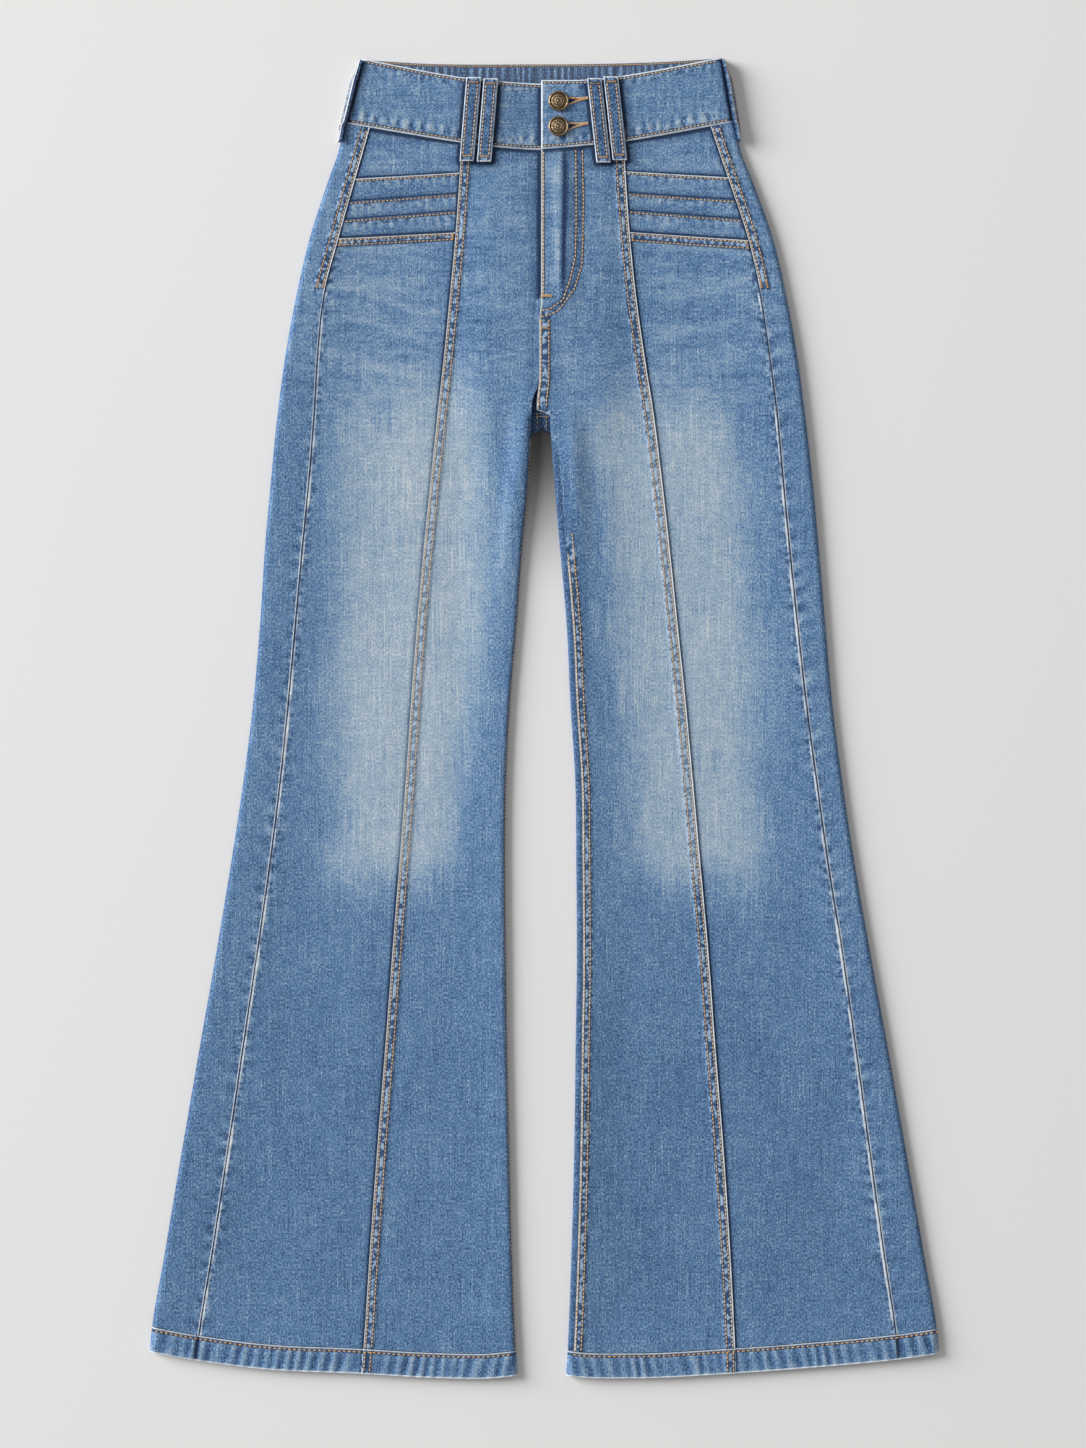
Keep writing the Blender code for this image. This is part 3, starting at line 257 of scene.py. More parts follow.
FADE_HALF, FADE_NARROWS = 36, 9  # the faded panel's half width, and how much of it is lost at its end
FADE_TOP, FADE_END = 340, 694  # how far down it starts and ends
FADE_SOFT_BESIDE, FADE_SOFT_ABOVE, FADE_SOFT_BELOW = 68, 124, 76  # over how far its edges fade
FADE_STRENGTH = {RIGHT: 0.98, LEFT: 0.92}
OUTSEAM_PUCKER, OUTSEAM_REACH = 17.0, 9.0  # the length and the reach of the puckers by the side seam
FLY_END = 214.0  # where the fly's own edge ends, above the centre seam
FLY_FADES = (196.0, 214.0)  # the zip's ridge and the hip's strip both die out over this stretch
HIP_ROWS_END = 205.0
CROTCH = (270.0, 345.0)  # between the legs, where the back's inner face shows
# painted shade: the cloth between the legs is darkened to this tone, as if in the shade there
CROTCH_PAINTED_SHADE = -1.0  # the cloth in the shade there

# How far each row of stitches runs in from its seam or edge.
STRIP_ROWS = (1.9, 7.2)  # a double-stitched strip
FLY_EDGE_ROW = 2.2
CENTRE_SEAM_ROWS = (1.7, 8.6)
INSEAM_ROWS = (1.4, 6.4)
HIDDEN_INSEAM_TURN = 26  # the right inseam's one row shows at this turn of the inner fold
SEAT_ROWS = (2.0, 6.5)
TUCK_ROWS = (1.9, 1.2, 1.2)
MOUTH_ROWS = (1.8, 1.7)  # in from the pocket mouth's upper and its lower edge
BAND_ROWS = (2.5, 2.6)  # in from the band's top edge and from the waist seam
BACK_BAND_ROW = 1.5
LOOP_ROW = 2.5
SIDE_LOOP_ROW = 2.4
HEM_ROW = 2.6
PITCH, STITCH, THREAD = 3.5, 2.9, 1.2  # from stitch to stitch, a stitch's length and its thread's width
HEM_PITCH, HEM_STITCH = 4.4, 3.4
ORANGE = 0.80  # the bar tacks' thread, on a scale from 0 (pale tan) to 1 (orange)
ROW_STEP = 1.2  # between the points of a path that stitches follow

LEG_LEVELS = np.linspace(WAIST_LEVEL, HEM_LEVEL, 421)
SIDE_LEVEL = 185.0  # the side front's rows follow the waist and hem from here down
BEND_ROUNDS = 4  # rows and columns bend with each other, so they are worked out this many times
NEAR_EDGE = np.array([0.0, 0.5, 1.0, 1.6, 2.3, 3.2, 4.4, 5.8, 7.4, 9.2])  # columns beside an edge
STRIP = np.array([0.0, 0.5, 1.0, 1.7, 2.4, 3.4, 4.4, 5.4, 6.4, 7.2, 8.0, 8.8, 9.8, 11.0])
TURNS = np.array([78, 66, 54, 42, 30, 18, 6, -6, -18, -30, -42, -54, -66, -78, -90.0])  # columns round a fold
FAR = 90.0  # a distance at which a mark shows nothing
SMALLEST_FLAT = 0.0101  # metres: a sheet's flat size is stated no smaller than this


# ---------------------------------------------------------------- curves
def smooth_step(low, high, at):
    """0 below low, 1 above high, and a smooth rise between them."""
    share = np.clip((at - low) / (high - low), 0.0, 1.0)
    return share * share * (3.0 - 2.0 * share)


def fall(low, high, at):
    """1 below low, 0 above high, and a smooth fall between them."""
    return 1.0 - smooth_step(low, high, at)


def part_way(start, end, share):
    """A share of the way from start to end."""
    return start + (end - start) * share


def through(xs, ys, at):
    """A smooth curve through the points, which never overshoots them (a monotone cubic)."""
    xs, ys, at = np.asarray(xs, float), np.asarray(ys, float), np.asarray(at, float)
    step = np.diff(xs)
    slope = np.diff(ys) / step
    tangent = np.concatenate([slope[:1], (slope[:-1] + slope[1:]) / 2, slope[-1:]])
    turning = np.concatenate([[False], slope[:-1] * slope[1:] <= 0, [False]])
    tangent[turning] = 0.0
    at = np.clip(at, xs[0], xs[-1])
    k = np.clip(np.searchsorted(xs, at) - 1, 0, len(step) - 1)
    t = (at - xs[k]) / step[k]
    return (
        ys[k] * (1 + 2 * t) * (1 - t) ** 2
        + step[k] * tangent[k] * t * (1 - t) ** 2
        + ys[k + 1] * t * t * (3 - 2 * t)
        + step[k] * tangent[k + 1] * t * t * (t - 1)
    )


def bump(distance, width):
    """1 where the distance is 0, falling off as a bell of this half width."""
    return np.exp(-((distance / width) ** 2))


def unevenness(at, seed):
    """A smooth random line from -1 to 1: seeded values one apart, joined by smooth steps."""
    values = np.random.default_rng(seed).uniform(-1, 1, 1024)
    k = np.floor(at).astype(int)
    t = smooth_step(0.0, 1.0, at - k)
    return values[k % 1024] * (1 - t) + values[(k + 1) % 1024] * t


def waviness(across, along, seed):
    """A smooth random surface from -1 to 1: seeded values on a grid one apart, joined by smooth steps."""
    values = np.random.default_rng(seed).uniform(-1, 1, (64, 64))
    i, j = np.floor(across).astype(int), np.floor(along).astype(int)
    s, t = smooth_step(0.0, 1.0, across - i), smooth_step(0.0, 1.0, along - j)
    near = values[i % 64, j % 64] * (1 - t) + values[i % 64, (j + 1) % 64] * t
    far = values[(i + 1) % 64, j % 64] * (1 - t) + values[(i + 1) % 64, (j + 1) % 64] * t
    return near * (1 - s) + far * s


def roping(along, across, period, seed):
    """Uneven puckers from -1 to 1: a wave along a seam, slanted across it, whose phase and height drift."""
    phase = 2.6 * unevenness(along / (2.2 * period), seed)
    height = 0.62 + 0.38 * unevenness(along / (1.6 * period), seed + 1)
    return height * np.sin(2 * np.pi * (along + 0.45 * across) / period + phase)


def away_from(out, down, spots):
    """The distance from each place to a line of straight runs between spots."""
    nearest = np.full(np.broadcast(out, down).shape, 1e3)
    for a, b in zip(spots[:-1], spots[1:]):
        run_out, run_down = b.out - a.out, b.down - a.down
        share = ((out - a.out) * run_out + (down - a.down) * run_down) / (run_out**2 + run_down**2)
        share = np.clip(share, 0.0, 1.0)
        apart = np.hypot(out - a.out - share * run_out, down - a.down - share * run_down)
        nearest = np.minimum(nearest, apart)
    return nearest


def outline(side, column, down):
    """How far out the outline's named column lies, at a distance down."""
    rows = OUTLINE[side]
    return through([r.down for r in rows], [getattr(r, column) for r in rows], down)


def edge_down(spots, out):
    """How far down an edge that runs across the garment lies, at a distance out."""
    return through([p.out for p in spots], [p.down for p in spots], out)


def edge_out(spots, down):
    """How far out an edge that runs down the garment lies. It is straight between its spots."""
    return np.interp(down, [p.down for p in spots], [p.out for p in spots])


# ---------------------------------------------------------------- heights of the model's solids
def along_line(line, out, down):
    """How far along a crease or streak a place lies (0 to 1), and how far beside it."""
    run = np.array([line.out_to - line.out_from, line.down_to - line.down_from], float)
    length = np.hypot(*run)
    along = ((out - line.out_from) * run[0] + (down - line.down_from) * run[1]) / length**2
    across = ((out - line.out_from) * run[1] - (down - line.down_from) * run[0]) / length
    return along, across


def creases_up(side, out, down):
    """The soft folds: each is a ridge along a line, highest at the crotch and dying out along the leg."""
    up = np.zeros(np.broadcast(out, down).shape)
    for c in CREASES:
        if c.side == side:
            along, across = along_line(c, out, down)
            fade = smooth_step(-0.15, 0.15, along) * fall(0.2, 1.0, along)
            up = up + c.height * fade * bump(across, c.half_width)
    return up


def fly_up(side, out, down):
    """The left front lies higher over the fly, with a ridge over the zip; the right front dips below it."""
    if side == RIGHT:
        return -LAP_DIP * fall(4, 30, out) * fall(FLY_OPEN_DOWN, CENTRE_SEAM_DOWN, down)
    lap = LAP * fall(20, FLY_STITCH_OUT + 3, out) * (1 - 0.9 * smooth_step(FLY_END, 242, down))
    ridge = ZIP_RIDGE * bump(out - ZIP_OUT, ZIP_RIDGE_WIDTH)
    return lap + ridge * fall(*FLY_FADES, down)


def laid(side, out, down):
    """0 beside a folded edge and over the fly, and 1 between them, where the front rests on the back."""
    leg = smooth_step(CROTCH_DOWN, 360, down)
    off_fold = 1 - bump(outline(side, "fold", down) - out, FOLD_REACH)
    off_inner = 1 - leg * bump(out - outline(side, "inner", down), INNER_REACH)
    off_fly = 1 - (1 - leg) * fall(*FLY_REACH, out)
    return off_fold * off_inner * off_fly


def front_up(side, out, down):
    """The height of the front's outer face, without its seams."""
    by_fold = through([r.down for r in LOFT], [r.by_fold for r in LOFT], down)
    between = through([r.down for r in LOFT], [r.between for r in LOFT], down)
    up = by_fold - (by_fold - between) * laid(side, out, down)
    return up + creases_up(side, out, down) + fly_up(side, out, down)


def band_up(side, out):
    """The height of the front band's outer face: the right half dips below the left one at the centre."""
    if side == RIGHT:
        return BAND_UP - (BAND_UP - EXTENSION_UP) * fall(3, 38, out)
    return BAND_UP + (LAP_BAND_UP - BAND_UP) * fall(40, 56, out)


def bent_in(turn):
    """How far in from its outermost line a folded edge lies at a turn."""
    return FOLD_RADIUS * (1 - np.cos(np.radians(turn)))


def fold_up(top, turn):
    """The height on a folded edge: turn is 90 on top, 0 on its outermost line and -90 on the floor."""
    middle = FOLD_MIDDLE * top
    reach = np.where(np.asarray(turn) > 0, top - middle, middle)
    return middle + reach * np.sin(np.radians(turn))


def seat_up(out, down):
    """The seat seam is drawn up off the floor just above the crotch."""
    near = bump(out, 16.0)
    return SEAT_RISE * near * smooth_step(262, 300, down) * fall(312, 330, down)


# ---------------------------------------------------------------- fine relief and tone
def slack(side, out, down):
    """Slow waves in a leg's front: broad and low, longer down the leg than across, and none at its seams."""
    leg = smooth_step(190, 330, down) * fall(1050, 1130, down)
    across, along = out / 34.0 + 0.0016 * down, down / 150.0
    broad = waviness(across, along, seed=11 + side)
    return leg * (0.55 * broad + 0.3 * waviness(out / 15.0, down / 70.0, seed=21 + side))


def strip_lift(apart):
    """A double-stitched strip: up at its folded edge, drawn in by its rows, and sloped at its far side."""
    top = SEAM_RAISE * fall(SEAM_WIDTH - 0.6, SEAM_WIDTH + 1.6, apart) * (apart > -0.05)
    drawn_in = sum(bump(apart - row, 0.75) for row in STRIP_ROWS)
    return top - 0.3 * drawn_in * (apart > -0.05)


def streaks_tone(side, out, down):
    """The tone of the streaks, worn whiskers and the painted shade and highlight of folds: each is a soft
    line that fades out at both its ends.
    """
    tone = np.zeros(np.broadcast(out, down).shape)
    for k, streak in enumerate(STREAKS):
        if streak.side == side:
            along, across = along_line(streak, out, down)
            across = across + 1.6 * unevenness(3.0 * along, seed=60 + k)
            ends = smooth_step(-0.1, 0.2, along) * fall(0.75, 1.1, along)
            tone = tone + streak.tone * ends * bump(across, streak.half_width)
    return tone


def fade_tone(side, out, down):
    """The faded panel down a leg's front: an oblong with a soft edge, softer at its top than at its end."""
    uneven = 7.0 * waviness(out / 30.0 + 3, down / 42.0, seed=40 + side)
    uneven = uneven + 2.0 * unevenness(out / 3.1, seed=52 + side)
    half = FADE_HALF - FADE_NARROWS * smooth_step(540, 680, down)
    beside = np.maximum(np.abs(out - edge_out(FADE_LINE[side], down)) - half, 0) / FADE_SOFT_BESIDE
    below = np.maximum(down - FADE_END, 0) / FADE_SOFT_BELOW
    above = np.maximum(FADE_TOP - down, 0) / FADE_SOFT_ABOVE
    edge = np.sqrt(beside**2 + below**2 + above**2) + uneven / 60
    return FADE_STRENGTH[side] * fall(0.0, 1.0, edge) ** 1.5


def front_tone(side, out, down):
    """The front's light and dark, from its fade, its streaks and the slow waves in the cloth."""
    lower = 0.13 * smooth_step(730, 880, down)
    if side == RIGHT:
        lower = lower - 0.20 * bump(down - 238, 45) * smooth_step(90, 112, out)
    mottled = 0.22 * waviness(out / 34.0, down / 7.0, seed=33 + side)
    waves = 0.07 * slack(side, out, down) + 0.05 * waviness(out / 22.0, down / 60.0, seed=31 + side)
    hips = 0.12 * fall(180, 330, down) + mottled * fall(230, 340, down)
    return fade_tone(side, out, down) + streaks_tone(side, out, down) + hips - lower + waves


def outseam_tone(side, apart, down):
    """Soft dark and pale puckers beside the leg's side seam, uneven and some 18 mm long."""
    reach = bump(apart, OUTSEAM_REACH) * smooth_step(200, 240, down)
    return 0.62 * reach * roping(down, np.abs(apart), OUTSEAM_PUCKER, seed=70 + side)


def front_face(side, out, down):
    """The height of the front's outer face with its seams, for the stitches that lie on it."""
    lift = strip_lift(outline(side, "panel_seam", down) - out)
    hip_strip = strip_lift(out - outline(side, "outseam", down)) * fall(*FLY_FADES, down)
    return front_up(side, out, down) + lift + hip_strip


# ---------------------------------------------------------------- rows and columns
def bend(side, out, level, back=False):
    """How far a row bends off its level: with the waist seam at the top, and with the hem at the bottom."""
    waist = edge_down((BACK_WAIST if back else WAIST_SEAM)[side], out)
    top = (waist + SEAM_GAP - WAIST_LEVEL) * fall(WAIST_LEVEL, WAIST_LEVEL + 190, level)
    hem_off = edge_down(HEM_BOTTOM[side], out) - LENGTH - SEAM_GAP
    return top + hem_off * smooth_step(HEM_LEVEL - 260, HEM_LEVEL, level)


def lay_out(side, levels, place, back=False):
    """A grid's out and down: place(down) says how far out each column lies, and rows bend to suit."""
    level = levels[:, None]
    down = level
    for _ in range(BEND_ROUNDS):
        down = level + bend(side, place(down), level, back)
    return place(down), down


def spread(start, stop, near_start, near_stop, count):
    """Columns from one line to another: at set distances beside each line, and count more between them."""
    near_start, near_stop = np.asarray(near_start, float), np.asarray(near_stop, float)
    first, last = len(near_start), len(near_stop)
    after = np.concatenate([near_start, np.full(count + last, near_start[-1])])
    before = np.concatenate([np.full(first + count, near_stop[-1]), near_stop[::-1]])
    share = np.concatenate([np.zeros(first), np.linspace(0, 1, count + 2)[1:-1], np.ones(last)])

    def place(down):
        near, far = start(down), stop(down)
        way = np.sign(far - near)
        return (near + way * after) * (1 - share) + (far - way * before) * share

    return place


def place_of(side, out, down, up):
    """Points in metres. The right half is on the -X side."""
    x = side * out + CENTRING_OUT
    y = LENGTH / 2 - down + CENTRING_DOWN
    return np.stack(np.broadcast_arrays(x, y, up), axis=-1) * MM


# ---------------------------------------------------------------- cloth
MARKS = {"tone": 0.0, "wear": FAR, "groove": FAR, "thread": FAR, "pucker": 0.0, "behind": 1.0}


def made_odd(values, axis, closed=False):
    """The grid with an odd number of lines (even, on a ring), by a line half way between its middle two."""
    count = values.shape[axis]
    if count % 2 != int(closed):
        return values
    low, high = count // 2 - 1, count // 2
    between = (np.take(values, [low], axis) + np.take(values, [high], axis)) / 2
    parts = np.take(values, range(high), axis), between, np.take(values, range(high, count), axis)
    return np.concatenate(parts, axis)


class Cut:
    """A piece of cloth as it is laid out: blocks of columns side by side, each with its places and its marks.

    The marks are tone (how pale, with painted shade and highlight in places), wear (mm from a worn edge),
    groove (mm
    from a dark line: seams' own dark joints, and painted shade beside raised edges, tucks, loops and laps),
    thread (mm from a row of stitches), pucker (how strongly a seam puckers it), raised (mm off the plain
    surface) and behind (1 where the rear is the cloth's pale inner side, and below 0 the tone of a rear that
    is dyed too, darkened further as painted shade at the crotch and behind the side loops).
    """

    def __init__(self, side, closed=False):
        self.side, self.closed = side, closed
        self.blocks = []

    def add(self, out, down, up, raised=0.0, **marks):
        block = {"out": out, "down": down, "up": up, "raised": raised}
        block |= {name: marks.get(name, usual) for name, usual in MARKS.items()}
        shape = np.broadcast_shapes(*(np.shape(v) for v in block.values()))
        self.blocks.append({k: np.broadcast_to(v, shape).astype(float) for k, v in block.items()})

    def whole(self):
        joined = {k: np.concatenate([b[k] for b in self.blocks], axis=1) for k in self.blocks[0]}
        return {k: made_odd(made_odd(v, 0), 1, self.closed) for k, v in joined.items()}


def outward(grid, closed, standing):
    """A cloth grid's unit normals, away from the space between the layers, or from X = 0 if it stands."""
    if closed:
        wrapped = np.concatenate([grid[:, -1:], grid, grid[:, :1]], axis=1)
        across = np.gradient(wrapped, axis=1)[:, 1:-1]
    else:
        across = np.gradient(grid, axis=1, edge_order=2)
    normals = np.cross(across, np.gradient(grid, axis=0))
    normals /= np.linalg.norm(normals, axis=2, keepdims=True)
    if standing:
        faces_out = np.sum(normals[..., 0] * grid[..., 0])
    else:
        faces_out = np.sum(normals[..., 2] * (grid[..., 2] - BETWEEN_LAYERS_UP * MM))
    return (normals, 1) if faces_out > 0 else (-normals, -1)


def squares(index):
    """The four corner numbers of each square of a grid of corner numbers."""
    around = [index[:-1, :-1], index[1:, :-1], index[1:, 1:], index[:-1, 1:]]
    return np.stack(around, axis=-1).reshape(-1, 4)


def wall_faces(front, rear, turn, closed):
    """A wall's faces from its corner numbers: fine squares in front, coarse ones behind, and rims between.

    The rear has every second line of the front, so each face of a rim has three corners in front and two
    behind.
    """
    faces = [squares(front)[:, ::-turn], squares(rear)[:, ::turn]]
    rims = [(front[0, ::-1], rear[0, ::-1]), (front[-1], rear[-1])]
    if not closed:
        rims += [(front[:, 0], rear[:, 0]), (front[::-1, -1], rear[::-1, -1])]
    for near, far in rims:
        rim = np.stack([near[:-2:2], far[:-1], far[1:], near[2::2], near[1::2]], axis=-1)
        faces.append(rim[:, ::-turn])
    return faces


def in_scene(name, data):
    """An object of this name in the scene, for a mesh, a light or a camera."""
    made = bpy.data.objects.new(name, data)
    bpy.context.scene.collection.objects.link(made)
    return made


def mesh_piece(name, points, faces, finish, corner_uv=None, smooth_angle=55.0):
    """A piece from points and arrays of faces' corner numbers. It rides on the body."""
    mesh = bpy.data.meshes.new(name)
    mesh.vertices.add(len(points))
    mesh.vertices.foreach_set("co", np.ascontiguousarray(points, dtype=np.float32).ravel())
    corners = np.concatenate([f.ravel() for f in faces])
    sizes = np.concatenate([np.full(len(f), f.shape[1]) for f in faces])
    mesh.loops.add(len(corners))
    mesh.loops.foreach_set("vertex_index", corners.astype(np.int32))
    mesh.polygons.add(len(sizes))
    mesh.polygons.foreach_set("loop_start", np.concatenate([[0], np.cumsum(sizes)[:-1]]).astype(np.int32))
    mesh.update(calc_edges=True)
    if corner_uv is not None:
        layer = mesh.uv_layers.new(name="cloth")
        layer.data.foreach_set("uv", np.ascontiguousarray(corner_uv, dtype=np.float32).ravel())
    mesh.materials.append(finish)
    mesh.shade_smooth()
    mesh.set_sharp_from_angle(angle=np.radians(smooth_angle))
    piece = in_scene(name, mesh)
    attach(piece, "root")
    return piece


def mark(piece, name, values):
    """Stores one number for each point of a piece, which its material reads by this name."""
    layer = piece.data.attributes.new(name, "FLOAT", "POINT")
    layer.data.foreach_set("value", np.ascontiguousarray(values, dtype=np.float32).ravel())


def run_lengths(grid, axis):
    """How far each point of a grid lies from its first row or column, along the cloth, in metres."""
    total = np.cumsum(np.linalg.norm(np.diff(grid, axis=axis), axis=2), axis=axis)
    first = np.zeros_like(np.take(total, [0], axis))
    return np.concatenate([first, total], axis=axis)


def flat_area(grid):
    """The area of the cloth, summed over the grid's parallelograms, in square metres."""
    across, along = np.diff(grid, axis=1)[:-1], np.diff(grid, axis=0)[:, :-1]
    return float(np.linalg.norm(np.cross(across, along), axis=2).sum())


def cloth(cut, node, finish, thickness=CLOTH, rests_on=(), standing=False, lengthwise=False,
          inner_shows=False):
    """A closed cloth wall from a cut, which replaces its model node.

    Its outer face is the cut's grid, raised along its normals. Its inner face is every second point of the
    grid, moved in by the cloth. The UV map is in metres: U along the weft and V along the warp, which runs
    down the garment, or across it if the piece is cut lengthwise.
    """
    w = cut.whole()
    grid = place_of(cut.side, w["out"], w["down"], w["up"])
    normals, turn = outward(grid, cut.closed, standing)
    if inner_shows:
        grid, normals, turn = grid - normals * thickness * MM, -normals, -turn
    outer = grid + normals * w["raised"][..., None] * MM
    inner = (grid - normals * thickness * MM)[::2, ::2]
    points = np.concatenate([outer.reshape(-1, 3), inner.reshape(-1, 3)])
    shown, hidden = w["down"].size, inner.size // 3
    front = np.arange(shown).reshape(w["down"].shape)
    rear = shown + np.arange(hidden).reshape(inner.shape[:2])
    ring, down = grid, w["down"]
    if cut.closed:
        front, rear, ring, down = (np.concatenate([v, v[:, :1]], axis=1) for v in (front, rear, ring, down))
    faces = wall_faces(front, rear, turn, cut.closed)

    way = np.sign(w["out"][:, 1:2] - w["out"][:, :1]) + 0.0
    weft = cut.side * (w["out"][:, :1] * MM + way * run_lengths(ring, 1))
    spot = np.stack([down * MM, weft] if lengthwise else [weft, down * MM], axis=-1)
    behind_spot = spot[::2, ::2]
    spots = np.concatenate([spot.reshape(-1, 2), behind_spot.reshape(-1, 2)])
    uv_front = np.arange(down.size).reshape(down.shape)
    uv_rear = down.size + np.arange(behind_spot.size // 2).reshape(behind_spot.shape[:2])
    corner_uv = spots[np.concatenate([f.ravel() for f in wall_faces(uv_front, uv_rear, turn, cut.closed)])]
    piece = mesh_piece(f"{node}_cloth", points, faces, finish, corner_uv)

    behind = w["behind"][::2, ::2].ravel()
    rear_marks = MARKS | {"tone": np.minimum(behind, 0.0)}
    for name in ("tone", "wear", "groove", "thread", "pucker"):
        mark(piece, name, np.concatenate([w[name].ravel(), np.broadcast_to(rear_marks[name], hidden)]))
    dyed_less, rear_side = (0.12, 0.0 * behind) if inner_shows else (0.0, np.clip(behind, 0, 1))
    mark(piece, "inside", np.concatenate([np.full(shown, dyed_less), rear_side]))
    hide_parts(node)
    runs = run_lengths(ring, 1)[:, -1], run_lengths(grid, 0)[-1]
    width, length = (max(SMALLEST_FLAT, float(run.max())) for run in runs)
    area = min(flat_area(ring), width * length)
    return piece


def side_name(stem, side):
    return f"{stem}_{'r' if side == RIGHT else 'l'}"


def nearest(*distances):
    """The smallest of some distances, place by place."""
    return np.minimum.reduce(np.broadcast_arrays(*distances))


def from_loops(side, out, down):
    """How far a place on the band or the panels lies outside the nearest front belt loop's outline."""
    apart = np.full(np.broadcast(out, down).shape, FAR)
    for loop in LOOPS:
        if loop.side == side:
            share = np.clip((down - loop.top_down) / (loop.bottom_down - loop.top_down), 0.0, 1.0)
            inner = part_way(loop.top_inner, loop.bottom_inner, share)
            outer = part_way(loop.top_outer, loop.bottom_outer, share)
            beside = np.maximum(np.maximum(inner - out, out - outer), 0.0)
            past = np.maximum(np.maximum(loop.top_down - down, down - loop.bottom_down), 0.0)
            apart = np.minimum(apart, np.hypot(beside, past))
    return apart


def from_rows(apart, rows):
    """How far each place lies from the nearest of some rows of stitches."""
    return nearest(*(np.abs(apart - row) for row in rows))


def on_back(side):
    return [side_name("back_panel", side) + "_cloth"]


def in_crotch(down):
    return (down > CROTCH[0]) & (down < CROTCH[1])


# ---------------------------------------------------------------- panels
def fly_and_inseam(out, down, apart, inward, marks):
    """The left front's lift along the fly, the centre seam and the inseam, whose marks are added to marks."""
    on_leg = smooth_step(*INSEAM_SHOWS, down)
    on_seam = smooth_step(CENTRE_SEAM_DOWN, CENTRE_SEAM_DOWN + 10, down) * fall(300, 316, down)
    fly = [away_from(out, down, row) for row in FLY_STITCHES]
    on_centre_seam = (down > CENTRE_SEAM_DOWN) & (down < 312)
    rows = nearest(
        *fly,
        np.where(down < FLY_END, np.abs(inward - FLY_EDGE_ROW), FAR),
        np.where(on_centre_seam, from_rows(inward, CENTRE_SEAM_ROWS), FAR),
        from_rows(inward, INSEAM_ROWS) + 9 * (1 - on_leg),
    )
    hidden_edge = (1 - on_leg) * smooth_step(313, 316, down)
    # painted shade: a dark line down the valley between the zip's ridge and the fly's stitching
    valley = np.abs(out - 17.6 + 0.008 * (down - 84)) * 0.6 + 1.0 + 9 * smooth_step(196, 212, down)
    strip = np.where(down < CENTRE_SEAM_DOWN, 0, fall(7.0, 10.0, inward)) * (1 - hidden_edge)
    puckered = np.maximum(fall(0, 3.5, nearest(*fly)) * 0.5, 0.9 * strip)
    between_rows = fall(3.0, 6.0, fly[0] + fly[1] - 4.0)
    marks["thread"] = nearest(marks["thread"], rows)
    marks["wear"] = nearest(apart, 0.7 * inward + 9.0 * hidden_edge)
    marks["groove"] = nearest(marks["groove"], valley)
    marks["pucker"] = np.maximum(marks["pucker"], puckered)
    marks["tone"] = marks["tone"] - 0.5 * between_rows + 0.16 * fall(0, 3.0, inward) * (down < FLY_END)
    raised = SEAM_RAISE * on_seam * fall(7.5, 10, inward) + 0.45 * on_leg * fall(6.6, 9.0, inward)
    return raised - 0.3 * bump(rows, 0.7)


def centre_front(side, finish):
    """From the panel seam to the fly, the centre seam and the inseam, with a strip by the panel seam.

    Below the crotch the right one bends round the leg's inner fold to the inseam at its edge. The left one
    ends short of the fold, because its inseam lies on the front.
    """
    turn_in = FOLD_RADIUS if side == RIGHT else 0.0
    inseam_in = 0.0 if side == RIGHT else FOLD_RADIUS + INSEAM_STEP

    def seam(down):
        return outline(side, "panel_seam", down) - SEAM_GAP / 2

    def edge(down):
        leg_edge = outline(side, "inner", down) + inseam_in
        on_leg = smooth_step(332, 350, down) if side == LEFT else (down >= 318)
        return edge_out(CENTRE_EDGE[side], down) * (1 - on_leg) + leg_edge * on_leg

    def leg(down):
        return smooth_step(*FRONT_LEG, down)

    cut = Cut(side)
    place = spread(seam, lambda d: edge(d) + turn_in, STRIP, NEAR_EDGE, 26 if side == RIGHT else 42)
    out, down = lay_out(side, LEG_LEVELS, place)
    apart, inward = seam(down) - out, out - edge(down)
    loose = smooth_step(8, 24, apart) * smooth_step(4, 24, inward)
    lift = strip_lift(apart) + 0.5 * slack(side, out, down) * loose
    marks = {
        "tone": front_tone(side, out, down) + 0.05 * (apart < SEAM_WIDTH),
        "wear": apart,
        "pucker": 0.95 * smooth_step(1.0, 2.2, apart) * fall(7.0, 10.5, apart),
        "thread": from_rows(apart, STRIP_ROWS),
        # groove: painted shade round the belt loops and below the waist seam
        "groove": 0.5 * nearest(from_loops(side, out, down), down - edge_down(WAIST_SEAM[side], out)),
    }
    if side == LEFT:
        lift = lift + fly_and_inseam(out, down, apart, inward, marks)
    else:
        # painted shadow of the left front's lapped fly edge: a dark line and a darker band on the right front
        from_left_edge = out + edge_out(CENTRE_EDGE[LEFT], down)
        painted_shade_by_fly = np.where(down < 316, np.maximum(from_left_edge, 0) * 0.4, FAR)
        marks["groove"] = nearest(marks["groove"], painted_shade_by_fly)
        marks["tone"] = marks["tone"] - 0.28 * fall(0, 7.0, from_left_edge) * (down < 305)
    cut.add(out, down, front_up(side, out, down), lift, **marks)
    for turn in (75, 60, 45, 30, 15, 3) if side == RIGHT else ():
        flat, bent = turn_in * turn / 90, bent_in(turn)
        out, down = lay_out(side, LEG_LEVELS, lambda d: edge(d) + flat + (bent - flat) * leg(d))
        top = front_up(side, edge(down) + turn_in, down)
        up = front_up(side, out, down) * (1 - leg(down)) + fold_up(top, turn) * leg(down)
        row = np.where(down > 330, abs(turn - HIDDEN_INSEAM_TURN) * 0.08, FAR)
        cut.add(out, down, up, tone=front_tone(side, out, down), thread=row, wear=2.2 + 4 * (1 - leg(down)))
    return cloth(cut, side_name("centre_front", side), finish, rests_on=on_back(side))


def lowered(line, by):
    """The same line across the side front, moved down."""
    return CrossLine(line.down_outseam + by, line.down_panel_seam + by)


